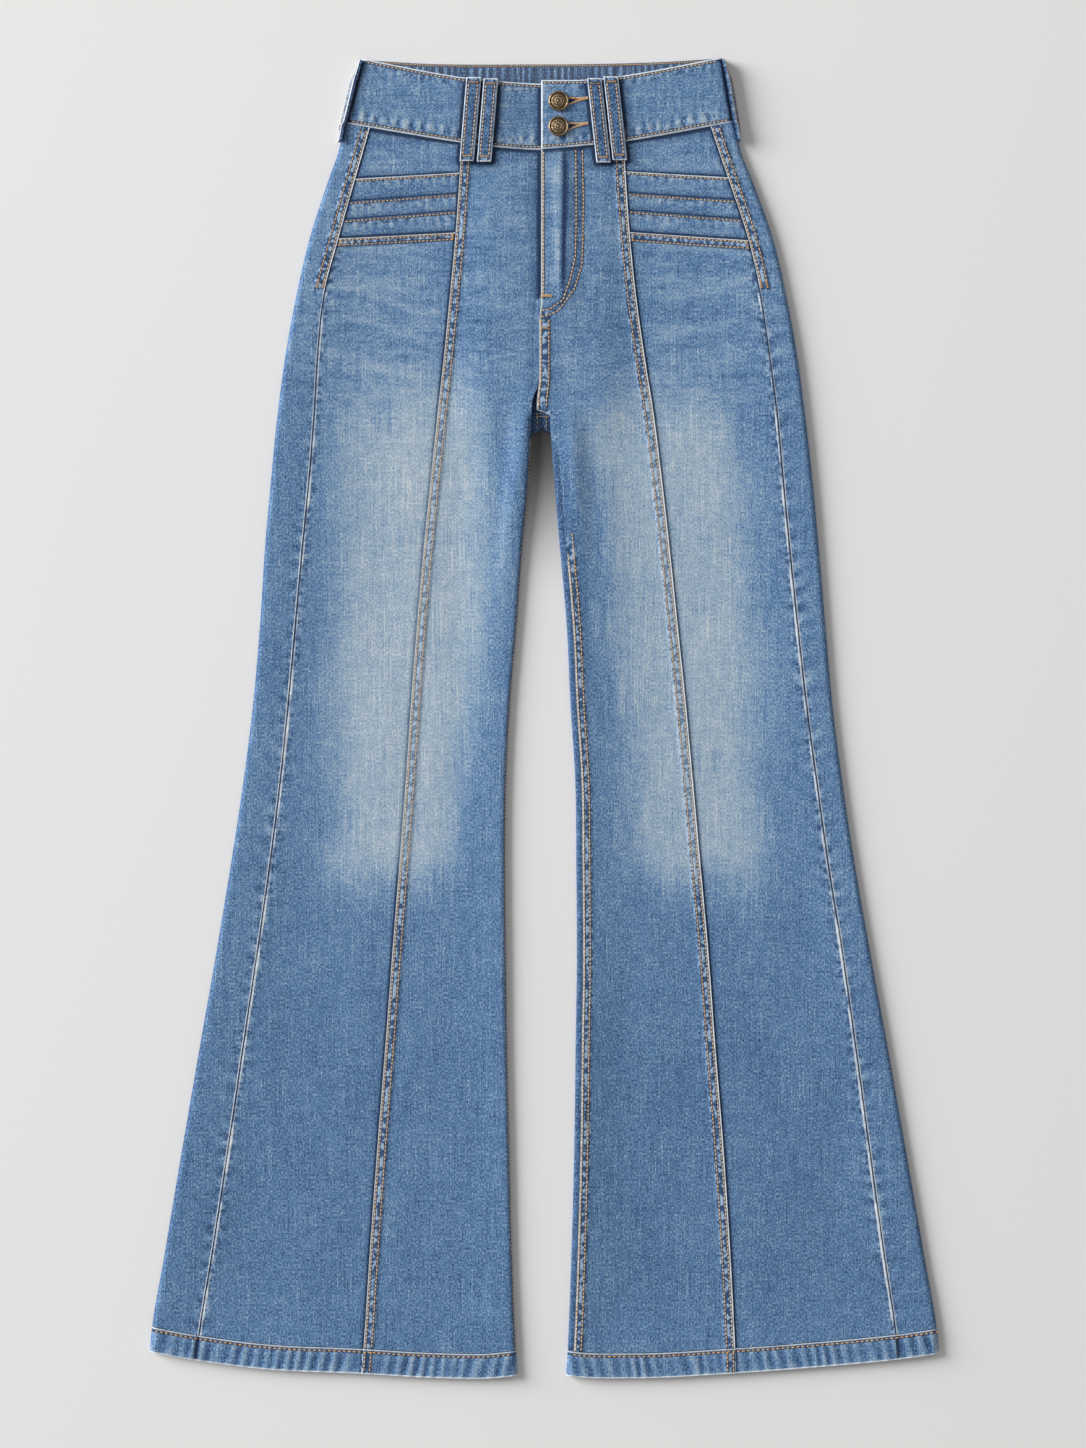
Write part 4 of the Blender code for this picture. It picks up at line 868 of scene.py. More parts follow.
def on_line(side, down_outseam, down_panel_seam, share):
    """Out and down on a line across the side front, a share of the way from the panel seam to the outseam."""
    near = outline(side, "panel_seam", down_panel_seam) + SEAM_GAP / 2
    far = outline(side, "outseam", down_outseam) - SEAM_GAP
    return part_way(near, far, share), part_way(down_panel_seam, down_outseam, share)


def side_front(side, finish):
    """From the pocket mouth down, between the panel seam and the outseam."""
    def near(down):
        return outline(side, "panel_seam", down) + SEAM_GAP / 2

    def far(down):
        return outline(side, "outseam", down) - SEAM_GAP / 2

    levels = np.concatenate([[SIDE_LEVEL], LEG_LEVELS[LEG_LEVELS > SIDE_LEVEL + 1.0]])
    out, down = lay_out(side, levels, spread(near, far, NEAR_EDGE, NEAR_EDGE, 33))
    share = (out[0] - near(down[0])) / (far(down[0]) - near(down[0]))
    mouth = MOUTH[side][1]
    top_out, top_down = on_line(side, *lowered(mouth, SEAM_GAP / 2), share)
    step = np.linspace(0, 1, 11)[:-1, None]
    out = np.concatenate([part_way(top_out, out[:1], step), out])
    down = np.concatenate([part_way(top_down, down[:1], step), down])
    from_seam, from_side = out - near(down), far(down) - out
    below_mouth = down - part_way(mouth.down_panel_seam, mouth.down_outseam, share)
    tone = front_tone(side, out, down) + outseam_tone(side, from_side, down)
    # paler just below the pocket mouth; darker beside the panel seam as painted shade beside its raised strip
    tone = tone + 0.20 * bump(below_mouth - 2.5, 2.5) - 0.10 * bump(from_seam - 1.5, 2.0)
    puckered = roping(down, from_side, OUTSEAM_PUCKER, seed=70 + side) * bump(from_side, OUTSEAM_REACH)
    loose = smooth_step(3, 24, nearest(from_seam, from_side))
    lift = 0.30 * puckered * smooth_step(0, 3, from_side) + 0.5 * slack(side, out, down) * loose
    less_worn = 0.35 + 0.35 * fall(250, 420, down) + 0.5 * unevenness(down / 13.0, seed=75 + side)
    cut = Cut(side)
    # groove: the panel seam's dark joint with painted shade beside its raised strip, and the outseam's dark
    # joint
    cut.add(out, down, front_up(side, out, down), lift, tone=tone, groove=nearest(from_seam, from_side * 1.7),
            pucker=0.5 * bump(from_side, 7.0), wear=np.abs(from_side - 1.9) + less_worn + 9 * (down < 206))
    return cloth(cut, side_name("side_front", side), finish, rests_on=on_back(side))


def between_lines(side, rows, finish, node, count=48):
    """A piece from the panel seam to the outseam, with the lift and the marks that each row is given."""
    ends = NEAR_EDGE[:7] / 80.0
    share = np.concatenate([ends, np.linspace(ends[-1], 1 - ends[-1], count)[1:-1], 1 - ends[::-1]])
    down_outseam, down_panel_seam, lift, marks = rows
    out, down = on_line(side, down_outseam[:, None], down_panel_seam[:, None], share)
    if node == "hip_panel":
        waist = edge_down(WAIST_SEAM[side], out) + 1.5 * SEAM_GAP
        down = down + (waist - down[:1]) * fall(0.0, 22.0, down - down[:1])
    near = out - outline(side, "panel_seam", down)
    far = outline(side, "outseam", down) - out
    blotch = marks.pop("blotch")[:, None] * roping(out, 0.2 * down, marks.pop("period"), seed=80 + side)
    marks = {name: values[:, None] + 0.0 * out for name, values in marks.items()}
    marks["tone"] = marks["tone"] + front_tone(side, out, down) + 0.75 * blotch
    # groove: the dark joints at the panel seam and the outseam, and painted shade round the belt loops
    marks["groove"] = nearest(marks["groove"], near, far, 0.5 * from_loops(side, out, down))
    marks["pucker"] = np.maximum(marks["pucker"], 0.5 * bump(nearest(near, far), 3.0))
    cut = Cut(side)
    cut.add(out, down, front_up(side, out, down), lift[:, None] + 0.3 * blotch, **marks)
    return cloth(cut, side_name(node, side), finish, rests_on=on_back(side))


def hip_panel(side, finish):
    """From the waist seam to the pocket mouth. Each tuck steps up at its folded edge, then slopes down."""
    far, near = outline(side, "outseam", WAIST_LEVEL), outline(side, "panel_seam", WAIST_LEVEL)
    waist = CrossLine(*(edge_down(WAIST_SEAM[side], out) + 1.5 * SEAM_GAP for out in (far, near)))
    lines = [waist, *TUCKS[side], lowered(MOUTH[side][0], -SEAM_GAP)]
    after_line = [0.0, 0.5, 1.0, 1.6, 2.2, 2.8, 3.4, 4.2, 5.2, 6.4]
    before_next = np.array([2.4, 1.6, 0.9, 0.45])
    bands = []
    for k, (line, after) in enumerate(zip(lines[:-1], lines[1:])):
        length = after.down_outseam - line.down_outseam
        down = np.concatenate([after_line, np.arange(8.0, length - 3.0, 1.8), length - before_next])
        share, to_next, nowhere = down / length, length - down, FAR + 0 * down
        tuck = k > 0
        row = np.abs(down - TUCK_ROWS[k - 1]) if tuck else nowhere
        # Painted shade just above each tuck's folded edge and just below the band; the pale just below each
        # tuck is wear.
        wear_below_painted_shade_above = 0.22 * bump(down - 5.0, 3.0) * tuck - 0.34 * bump(to_next, 2.0)
        bands.append({
            "outseam": line.down_outseam + down,
            "panel": part_way(line.down_panel_seam, after.down_panel_seam, share),
            "lift": TUCK_RAISE * (1 - share) ** 1.3 * tuck - 0.35 * bump(row, 0.7) * tuck,
            "thread": row,
            # groove: a painted shade line above each tuck's folded edge, and below the waist seam on the top
            # band
            "groove": to_next * 0.9 if tuck else nearest(to_next * 0.7, down * 0.45),
            "wear": down if k == 1 else nowhere,
            "tone": wear_below_painted_shade_above - 0.20 * bump(down, 3.0) * (not tuck),
            "blotch": 0.75 * bump(down - 5.0, 4.0) if tuck else 0.25 * bump(down - 5.0, 5.0),
            "pucker": 0.35 * bump(down - 3.0, 3.0) * tuck,
        })
    marks = {name: np.concatenate([band[name] for band in bands]) for name in bands[0]} | {"period": 8.5}
    rows = (marks.pop("outseam"), marks.pop("panel"), marks.pop("lift"), marks)
    return between_lines(side, rows, finish, "hip_panel")


def pocket_mouth(side, finish):
    """The double-stitched band along the pocket's mouth, drawn into close dark and pale puckers."""
    edge, end = MOUTH[side]
    share = np.array([0.0, 0.05, 0.11, 0.17, 0.24, 0.31, 0.4, 0.5, 0.6, 0.7, 0.77, 0.84, 0.9, 0.96, 1.0])
    downs = (first + (last - SEAM_GAP / 2 - first) * share for first, last in zip(edge, end))
    below = share * (end.down_outseam - edge.down_outseam)
    height = below[-1]
    rows = from_rows(below, (MOUTH_ROWS[0], height - MOUTH_ROWS[1]))
    lift = MOUTH_RAISE * (1 - 0.7 * smooth_step(height - 1.2, height, below)) - 0.35 * bump(rows, 0.7)
    marks = {
        "tone": np.full(len(below), -0.08),
        "wear": below,
        "groove": np.full(len(below), FAR),
        "thread": rows,
        "blotch": 2.0 * bump(below - height / 2, 3.0),
        "pucker": 0.5 * bump(below - height / 2, 2.6),
        "period": 6.0,
    }
    return between_lines(side, (*downs, lift, marks), finish, "pocket_mouth", count=90)


def back_panel(side, finish):
    """From the outseam on the front, round the outer fold, over the floor to the seat seam or the inseam.

    Below the crotch its inner columns bend up round the leg's inner fold: to the fold's outermost line on the
    right leg, and over it on to the front on the left leg.
    """
    fold, inner = partial(outline, side, "fold"), partial(outline, side, "inner")
    inner_turns = (-75, -60, -45, -30, -15) + ((-3,) if side == RIGHT else (0, 15, 30, 45, 60, 75, 90))
    seat = SEAT_SEAM_OUT[side] + SEAM_GAP / 2

    def seam(down):
        return outline(side, "outseam", down) + SEAM_GAP / 2

    def fold_start(down):
        return fold(down) - FOLD_RADIUS

    def leg(down):
        return smooth_step(*BACK_LEG, down)

    cut = Cut(side)
    out, down = lay_out(side, LEG_LEVELS, spread(seam, fold_start, STRIP, [0.0, 1.5], 5))
    apart = out - seam(down)
    hips = fall(*FLY_FADES, down)
    puckered = roping(down, -apart, OUTSEAM_PUCKER, seed=70 + side) * bump(apart, OUTSEAM_REACH) * (1 - hips)
    tone = front_tone(side, out, down) + outseam_tone(side, -apart, down) * (1 - hips)
    hip_pucker = 1.1 * hips * smooth_step(0.8, 2.0, apart) * fall(7.5, 11, apart)
    cut.add(
        out, down, front_up(side, out, down),
        strip_lift(apart) * hips + 0.30 * puckered * smooth_step(0, 3, apart),
        tone=tone - 0.2 * hips * (apart < 9),
        wear=apart + (0.3 + 0.3 * fall(250, 420, down)) * (1 - hips),
        thread=np.where(down < HIP_ROWS_END, from_rows(apart, STRIP_ROWS), FAR),
        pucker=np.maximum(hip_pucker, 0.35 * bump(apart, 6)),
    )
    out, down = lay_out(side, LEG_LEVELS, lambda d: fold(d) - bent_in(TURNS))
    # painted shade on the rounded outer fold, strongest on the right leg, whose fold faces the low key light
    painted_fold_shade = (0.6 if side == RIGHT else 0.3) * fall(15, 72, TURNS)
    cut.add(out, down, fold_up(front_up(side, fold_start(down), down), TURNS),
            tone=front_tone(side, out, down) - 0.05 - painted_fold_shade)

    # Above the crotch the inner columns lie flat beside the seat seam instead.
    count = len(inner_turns) + (side == LEFT)
    flat_step = 2.6 * (3 if side == RIGHT else 7) / count
    flat_end = count * flat_step

    def inner_fold(down, flat, bent):
        return (seat + flat) * (1 - leg(down)) + (inner(down) + bent) * leg(down)

    floor = spread(fold_start, lambda d: inner_fold(d, flat_end, FOLD_RADIUS), [5.0], [0.0], 46)
    out, down = lay_out(side, LEG_LEVELS, floor, back=True)
    # painted shade: between the legs the back's up-facing inner face gets the crotch's dark tone
    cut.add(out, down, seat_up(out, down) * (1 - leg(down)),
            tone=-0.08 + 0.05 * waviness(out / 22, down / 60, seed=5),
            behind=np.where(in_crotch(down) & (out < 40), CROTCH_PAINTED_SHADE, 1.0))
    for k, turn in enumerate(inner_turns, start=1):
        place = partial(inner_fold, flat=flat_end - k * flat_step, bent=bent_in(turn))
        out, down = lay_out(side, LEG_LEVELS, place, back=True)
        top = front_up(side, inner(down) + FOLD_RADIUS, down)
        up = seat_up(out, down) * (1 - leg(down)) + fold_up(top, turn) * leg(down)
        wear = np.where(down > 336, abs(turn - 35) * 0.06 + 0.95, FAR) if side == LEFT else FAR
        # painted shade on the inner fold's upper turns, strongest on the left leg, whose inner fold faces the
        # key light
        cut.add(out, down, up, tone=-0.12 - (0.35 if side == RIGHT else 0.6) * (turn > -40), wear=wear,
                thread=np.where(down < 333, from_rows(out - seat, SEAT_ROWS), FAR),
                pucker=0.7 * (1 - leg(down)), behind=np.where(in_crotch(down), CROTCH_PAINTED_SHADE, 1.0))
    if side == LEFT:
        # painted shade: the last column by the left inseam is dark, with a dark line along it and the
        # crotch's tone behind
        place = partial(inner_fold, flat=0.0, bent=FOLD_RADIUS + INSEAM_STEP - SEAM_GAP)
        out, down = lay_out(side, LEG_LEVELS, place, back=True)
        up = seat_up(out, down) * (1 - leg(down)) + front_up(side, out, down) * leg(down)
        cut.add(out, down, up, tone=-0.3, groove=0.0, pucker=0.7 * (1 - leg(down)), behind=CROTCH_PAINTED_SHADE)
    return cloth(cut, side_name("back_panel", side), finish, rests_on=["floor"])


def hem_rows(side, place):
    """Out and down along the hem: its rows keep to the curve of its bottom edge."""
    share = [0, 0.02, 0.045, 0.07, 0.1, 0.14, 0.2, 0.28, 0.37, 0.47, 0.57, 0.67, 0.76, 0.84, 0.9, 0.95, 1.0]
    levels = (HEM_LEVEL + SEAM_GAP + np.array(share) * (HEM_WIDTH - SEAM_GAP))[:, None]
    down = levels
    for _ in range(BEND_ROUNDS):
        down = levels + edge_down(HEM_BOTTOM[side], place(down)) - LENGTH
    return place(down), down


def hem(side, finish):
    """The turned-up hem: a double wall round the leg's bottom, flat on the floor, roped at its stitches."""
    fold, inner = partial(outline, side, "fold"), partial(outline, side, "inner")
    on_front = partial(front_up, side)
    width = HEM_WIDTH - SEAM_GAP
    cut = Cut(side, closed=True)

    def fold_start(down):
        return fold(down) - FOLD_RADIUS

    def fold_end(down):
        return inner(down) + FOLD_RADIUS

    def add(place, up_at, strength=0.0):
        out, down = hem_rows(side, place)
        below = down - down[:1]
        rope = roping(out, -0.5 * below, 10.5, seed=90 + side) * smooth_step(0.5, 4.0, below)
        past_seam = out - outline(side, "panel_seam", down)
        strip = (past_seam < 0) * fall(SEAM_WIDTH, SEAM_WIDTH + 1.2, -past_seam) * strength
        seams = nearest(np.where(past_seam > 0, past_seam, FAR), np.abs(out - outline(side, "outseam", down)))
        drawn_in = 0.3 * bump(below - HEM_ROW, 0.7)
        lift = strength * (HEM_RAISE + 0.42 * rope - drawn_in - 0.4 * bump(seams, 0.8))
        tone = 0.85 * rope + 0.25 * smooth_step(15, 21, below) - 0.10 + 0.12 * bump(below - 5.0, 2.5)
        unseen = FAR * (1 - strength)
        worn_seam = np.where(past_seam < 0, 0.2 - past_seam, FAR) + unseen
        cut.add(out, down, up_at(out, down), lift + 0.4 * strip, tone=tone - 0.1 * strip,
                wear=nearest(below + 0.1, (width - below) * 0.8 + 0.2, worn_seam),
                thread=nearest(np.abs(below - HEM_ROW), from_rows(-past_seam, STRIP_ROWS) + unseen),
                groove=seams * strength + unseen, pucker=0.10 + 0.45 * strip)

    if side == LEFT:
        add(fold_end, on_front, 1.0)
    step = 0.0 if side == RIGHT else INSEAM_STEP
    add(spread(lambda d: fold_end(d) + step, fold_start, [0.0], [0.0], 290), on_front, 1.0)
    add(lambda d: fold(d) - bent_in(TURNS),
        lambda out, down: fold_up(on_front(fold_start(down), down), TURNS))
    add(spread(fold_start, fold_end, [4.0], [4.0], 80), lambda out, down: 0.0 * out)
    turns = -TURNS[:-1]
    add(lambda d: inner(d) + bent_in(turns),
        lambda out, down: fold_up(on_front(fold_end(down), down), turns))
    return cloth(cut, side_name("hem", side), finish, thickness=DOUBLE, rests_on=["floor"])


# ---------------------------------------------------------------- waistband and belt loops
def band_marks(from_top, from_seam, out, side):
    """A band's lift and marks: worn edges, a row of stitches inside each, and pale roping beside its rows."""
    low = roping(out, 0.3 * from_seam, 10.0, seed=100 + side)
    high = roping(out, 0.3 * from_top, 9.0, seed=104 + side)
    reach_low, reach_high = bump(from_seam - 8.0, 5.2), bump(from_top - 6.0, 3.4)
    tone = 0.10 + reach_low * (0.30 + 0.85 * low) + reach_high * (0.08 + 0.45 * high)
    rows = nearest(np.abs(from_top - BAND_ROWS[0]), np.abs(from_seam - BAND_ROWS[1]))
    from_edge = nearest(from_top, from_seam)
    lift = -0.55 * bump(from_edge, 0.55) - 0.35 * bump(rows, 0.75)
    return lift + 0.3 * reach_low * low + 0.12 * reach_high * high, {
        "tone": tone + 0.05 * waviness(out / 16.0, from_top / 14.0, seed=107 + side),
        "thread": rows,
        "wear": from_edge * 0.9,
        "pucker": 0.35 * np.maximum(reach_low, reach_high),
    }


# The band's rows, as shares of the way from its top edge to the waist seam.
BAND_SHARES = np.concatenate([
    np.array([0, 0.4, 0.8, 1.3, 1.9, 2.5, 3.1, 3.8, 4.8, 6.0]) / 57,
    np.linspace(0.105, 0.895, 29)[1:-1],
    1 - np.array([6.0, 4.8, 3.8, 3.2, 2.6, 2.0, 1.4, 0.9, 0.4, 0]) / 57,
])[:, None]


def slit_down(level, out):
    """How far down a buttonhole's slit lies. It slants a little up towards the side."""
    return level - 0.16 * (out - 20)


def waistband_front(side, finish):
    """From the centre front round the side fold. The right half runs on below the left one."""
    centre = -EXTENSION_OUT if side == RIGHT else BAND_TOP[LEFT][0].out
    top_end, seam_end = BAND_TOP[side][-1].out, WAIST_SEAM[side][-1].out
    cut = Cut(side)

    def add(out_top, out_seam, up_at, from_end):
        top, seam = edge_down(BAND_TOP[side], out_top), edge_down(WAIST_SEAM[side], out_seam)
        out = part_way(out_top, out_seam, BAND_SHARES)
        down = part_way(top, seam, BAND_SHARES)
        height = down[-1:] - down[:1]
        lift, marks = band_marks(BAND_SHARES * height, (1 - BAND_SHARES) * height, out, side)
        from_side = part_way(top_end, seam_end, BAND_SHARES) - out
        # painted shade round the belt loops, and at the band's end by the side fold where the side loop
        # stands
        marks["groove"] = nearest(0.5 * from_loops(side, out, down), 0.3 + 0.5 * from_side)
        if side == LEFT:
            end_rope = roping(down, from_end, 7.5, seed=3)
            lift = lift - 0.5 * bump(from_end, 0.6) + 0.25 * bump(from_end - 4.5, 1.6) * end_rope
            marks["wear"] = nearest(marks["wear"], from_end * 0.65)
            marks["tone"] = marks["tone"] - 0.16 * smooth_step(16, 24, out) * fall(38, 44, out)
            marks["tone"] = marks["tone"] + bump(from_end - 4.5, 2.4) * (0.12 + 0.3 * end_rope)
            for level in BUTTONS_DOWN.values():
                slit = np.hypot(np.maximum(np.abs(out - 24.0) - 11.0, 0), down - slit_down(level, out))
                marks["groove"] = nearest(marks["groove"], slit)
        else:
            # painted shade where the right band runs on under the left one
            under = np.maximum(out - 3.4, 0)
            marks["groove"] = nearest(marks["groove"], under * 0.6)
            marks["tone"] = marks["tone"] - 0.25 * fall(0, 7, under)
        cut.add(out, down, up_at(out), lift, **marks)

    reach = top_end - FOLD_RADIUS - centre
    share = np.concatenate([NEAR_EDGE[:8] / reach, np.linspace(6.5 / reach, 1, int(reach / 1.15))])
    add(centre + reach * share, centre + (seam_end - FOLD_RADIUS - centre) * share,
        partial(band_up, side), share * reach)
    turns = TURNS[TURNS > 0]
    add(top_end - bent_in(turns), seam_end - bent_in(turns), lambda out: fold_up(BAND_UP, turns), FAR)
    return cloth(cut, side_name("waistband_front", side), finish, thickness=DOUBLE,
                 rests_on=["waistband_back_cloth"], lengthwise=True)


def waistband_back(finish):
    """Flat on the floor behind the front band, and bent up at both folds. Its inner face shows at the top."""
    tops = -BAND_TOP[RIGHT][-1].out, BAND_TOP[LEFT][-1].out
    seams = -WAIST_SEAM[RIGHT][-1].out, WAIST_SEAM[LEFT][-1].out
    cut = Cut(LEFT)

    def add(out_top, out_seam, up):
        top, away = edge_down(BACK_TOP, out_top), np.abs(out_seam)
        seam = np.where(out_seam > 0, edge_down(BACK_WAIST[LEFT], away), edge_down(BACK_WAIST[RIGHT], away))
        out = part_way(out_top, out_seam, BAND_SHARES)
        from_top = BAND_SHARES * (seam - top)
        down = part_way(top, seam, BAND_SHARES)
        rope = roping(out, 0.0 * out, 6.4, seed=111) * smooth_step(1.5, 4.0, from_top)
        row = np.abs(from_top - BACK_BAND_ROW)
        # the inner face's tone: dark for its dye, with painted shade under the front band that deepens away
        # from the top edge
        cut.add(out, down, up, -0.3 * bump(row, 0.7) + 0.25 * rope, wear=from_top + 0.6, thread=row,
                tone=-0.75 + 1.7 * rope - 0.3 * smooth_step(7, 18, from_top), pucker=0.12)

    turns = TURNS[(TURNS < 0) & (TURNS > -80)]
    add(bent_in(turns) + tops[0], bent_in(turns) + seams[0], fold_up(BAND_UP, turns))
    share = np.linspace(0.0, 1.0, 180)
    ends = ((FOLD_RADIUS + right, left - FOLD_RADIUS) for right, left in (tops, seams))
    add(*(right * (1 - share) + left * share for right, left in ends), 0.0)
    turns = turns[::-1]
    add(tops[1] - bent_in(turns), seams[1] - bent_in(turns), fold_up(BAND_UP, turns))
    return cloth(cut, "waistband_back", finish, thickness=DOUBLE, rests_on=["floor"],
                 lengthwise=True, inner_shows=True)


def loop_face(loop, share, across):
    """Out, down and up on a belt loop's outer face, a share of the way down it and across it."""
    down = part_way(loop.top_down, loop.bottom_down, share)
    top = part_way(loop.top_inner, loop.top_outer, across)
    bottom = part_way(loop.bottom_inner, loop.bottom_outer, across)
    out = part_way(top, bottom, share)
    seam = edge_down(WAIST_SEAM[loop.side], out)
    on_panel = smooth_step(-3.0, 4.0, down - seam)
    below = band_up(loop.side, out) * (1 - on_panel)
    below = below + (front_up(loop.side, out, down) + SEAM_RAISE) * on_panel
    bow = LOOP_BOW * np.sin(np.pi * np.clip(share, 0.0, 1.0)) ** 0.5
    return out, down, below + SEAM_GAP + bow + LOOP_THICKNESS


def belt_loop(loop, finish):
    """A front loop: its ends lie on the band and on the panel below it, and its middle bows off the band."""
    length, width = loop.bottom_down - loop.top_down, loop.top_outer - loop.top_inner
    first, last = [0, 0.4, 0.9, 1.6], length - np.array([1.6, 0.9, 0.4, 0])
    share = np.concatenate([first, np.arange(2.5, length - 2.0, 1.0), last])[:, None] / length
    near = np.array([0.0, 0.35, 0.7, 1.1, 1.6, 2.2, 2.8, 3.4, 4.2, 5.2]) / width
    across = np.concatenate([near, [0.5], 1 - near[::-1]])
    out, down, up = loop_face(loop, share, across)
    from_edge = nearest(across, 1 - across) * width + 0.0 * share
    from_end = nearest(share, 1 - share) * length + 0.0 * across
    rows = np.abs(from_edge - LOOP_ROW)
    lift = -0.5 * bump(from_edge, 0.5) - 0.35 * bump(rows, 0.7) + 0.6 * fall(4.4, 5.6, from_end)
    lift = lift - 0.4 * bump(from_end, 0.5)
    lift = lift + 0.1 * roping(down, 0.0 * down, 6.0, seed=120 + int(10 * loop.top_inner))
    ragged = 0.25 * waviness(out / 3.0, down / 5.0, seed=124)
    tone = -0.15 + 0.40 * fall(3.6, 5.2, from_end) + 0.10 * bump(from_edge - 1.2, 0.8)
    cut = Cut(loop.side)
    cut.add(out, down, up, lift, tone=tone - 0.35 * smooth_step(2.8, 4.2, from_edge) * (from_end > 5.0),
            wear=nearest(from_edge * 1.15, from_end * 0.75) + ragged + 0.2,
            thread=nearest(rows, np.abs(from_end - 4.6)), pucker=0.22, behind=-0.2)
    return cloth(cut, loop.name, finish, thickness=LOOP_THICKNESS,
                 rests_on=[side_name("waistband_front", loop.side) + "_cloth"])


def side_loop_face(side, share, up):
    """Out and down on a side loop's outer face, a share of the way down it. It leans in at its top."""
    down_top, down_bottom = SIDE_LOOP_DOWNS[side]
    down = part_way(down_top, down_bottom, share)
    top, seam = BAND_TOP[side][-1], WAIST_SEAM[side][-1]
    band_edge = top.out + (seam.out - top.out) * (down - top.down) / (seam.down - top.down)
    on_panel = smooth_step(-2.0, 2.0, down - seam.down)
    carrier = band_edge * (1 - on_panel) + (outline(side, "fold", down) + SEAM_GAP) * on_panel
    bow = SIDE_LOOP_BOW * smooth_step(0.0, 0.3, share) * fall(0.7, 1.0, share)
    lean = (1.2 + 0.7 * bow) * up / SIDE_LOOP_HEIGHT
    return carrier + SEAM_GAP + bow + SIDE_LOOP_THICKNESS - lean, down


def belt_loop_side(side, finish):
    """A side loop on its edge at the side fold: by the band at both ends and bowed out between them."""
    down_top, down_bottom = SIDE_LOOP_DOWNS[side]
    share = np.linspace(0.0, 1.0, 71)[:, None]
    up = np.array([10.5, 10.1, 9.6, 9.0, 8.2, 7.4, 6.4, 5.2, 4.1, 3.1, 2.3, 1.5, 0.9, 0.4, 0.0])
    outer, down = side_loop_face(side, share, up)
    off_floor = 0.9  # so that the leaning wall's inner edge stays above the floor
    raised = off_floor + up * (1 - off_floor / SIDE_LOOP_HEIGHT)
    from_edge = nearest(SIDE_LOOP_HEIGHT - up, up) + 0.0 * share
    from_end = nearest(share, 1 - share) * (down_bottom - down_top) + 0.0 * up
    rows = np.abs(from_edge - SIDE_LOOP_ROW)
    cut = Cut(side)
    # painted shade: tone -0.25 dims the face where the low key light strikes it, and the rear is painted dark
    # as shade in the gap behind it
    cut.add(outer, down, raised, -0.3 * bump(rows, 0.7) - 0.4 * bump(from_edge, 0.45), tone=-0.25,
            wear=nearest(1.2 * up, 0.15 + 0.8 * (SIDE_LOOP_HEIGHT - up), from_end * 0.6),
            thread=nearest(rows, np.abs(from_end - 4.0)), pucker=0.5, behind=-0.6)
    return cloth(cut, side_name("belt_loop_side", side), finish, thickness=SIDE_LOOP_THICKNESS, standing=True,
                 rests_on=["floor"])


# ---------------------------------------------------------------- buttons and zip
def button(name, down, finish):
    """A shank button turned about its middle: a domed cap with rings, a beaded ring and a rim, on its shank.

    Its height is a smooth curve over the radius, with a bell-shaped ridge or groove for each ring, and the
    beads are a cosine round the middle.
    """
    base, foot = LAP_BAND_UP + SEAM_GAP, EXTENSION_UP + SEAM_GAP
    around = np.linspace(0, 2 * np.pi, 96, endpoint=False)
    radius = np.linspace(0.0, 8.7, 64)[1:, None]
    cap = through([0, 3.2, 6.0, 6.9, 7.6, 8.4, BUTTON_RADIUS], [3.3, 3.2, 2.7, 2.2, 2.9, 2.8, 2.1], radius)
    rings = 0.20 * bump(radius, 0.9) - 0.26 * bump(radius - 1.6, 0.34) + 0.12 * bump(radius - 2.5, 0.4)
    rings = rings - 0.22 * bump(radius - 3.9, 0.26) - 0.18 * bump(radius - 6.9, 0.4)
    beads = 0.13 * bump(radius - 5.2, 0.55) * np.cos(30 * around)
    petals = 0.09 * bump(radius - 2.9, 0.7) * np.cos(12 * around)
    dents = waviness(radius * np.cos(around) / 1.7 + 9, radius * np.sin(around) / 1.7 + 9, seed=130)
    wear = 0.05 * dents
    up = base + cap + rings + beads + petals + wear
    worn = 0.5 + 2.2 * (rings + beads + petals) + 6.0 * wear + 0.5 * bump(radius - 7.9, 0.4)
    # The rim and the underside, as radius and height over the band, and then the shank down to its foot.
    profile = [(8.82, 2.3), (BUTTON_RADIUS, 1.6), (BUTTON_RADIUS, 0.9), (8.5, 0.55), (8.0, 0.4), (5.0, 0.15),
               (SHANK_RADIUS, 0.0), (SHANK_RADIUS, (base + foot) / 2 - base), (SHANK_RADIUS, foot - base)]
    below = np.array(profile)
    radius = np.concatenate([radius, below[:, :1]])
    up = np.concatenate([up, base + below[:, 1:] + 0.0 * around])
    worn = np.concatenate([np.clip(worn, 0, 1), np.full((len(below), len(around)), 0.25)])
    rounds = place_of(LEFT, BUTTON_OUT + radius * np.cos(around), down - radius * np.sin(around), up)
    top, end = (place_of(LEFT, BUTTON_OUT, down, level) for level in (base + 3.5, foot))
    points = np.concatenate([rounds.reshape(-1, 3), top[None], end[None]])
    index = np.arange(up.size).reshape(up.shape)
    index = np.concatenate([index, index[:, :1]], axis=1)
    crown = np.stack([np.full(len(around), up.size), index[0, :-1], index[0, 1:]], axis=-1)
    sole = np.stack([np.full(len(around), up.size + 1), index[-1, 1:], index[-1, :-1]], axis=-1)
    faces = [squares(index), crown, sole]
    piece = mesh_piece(f"{name}_cap", points, faces, finish, smooth_angle=50)
    mark(piece, "worn", np.concatenate([worn.ravel(), [0.9, 0.2]]))
    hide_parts(name)
    return piece


def fly_shield(finish):
    """The flat shield behind the zip, hidden under the left front."""
    out, down = np.linspace(*SHIELD_OUT, 15), np.linspace(*SHIELD_DOWN, 51)[:, None]
    near = nearest(out - SHIELD_OUT[0], SHIELD_OUT[1] - out)
    cut = Cut(LEFT)
    cut.add(out, down, SHIELD_UP[1], wear=near, thread=np.abs(near - 4.0))
    return cloth(cut, "fly_shield", finish, rests_on=on_back(LEFT))


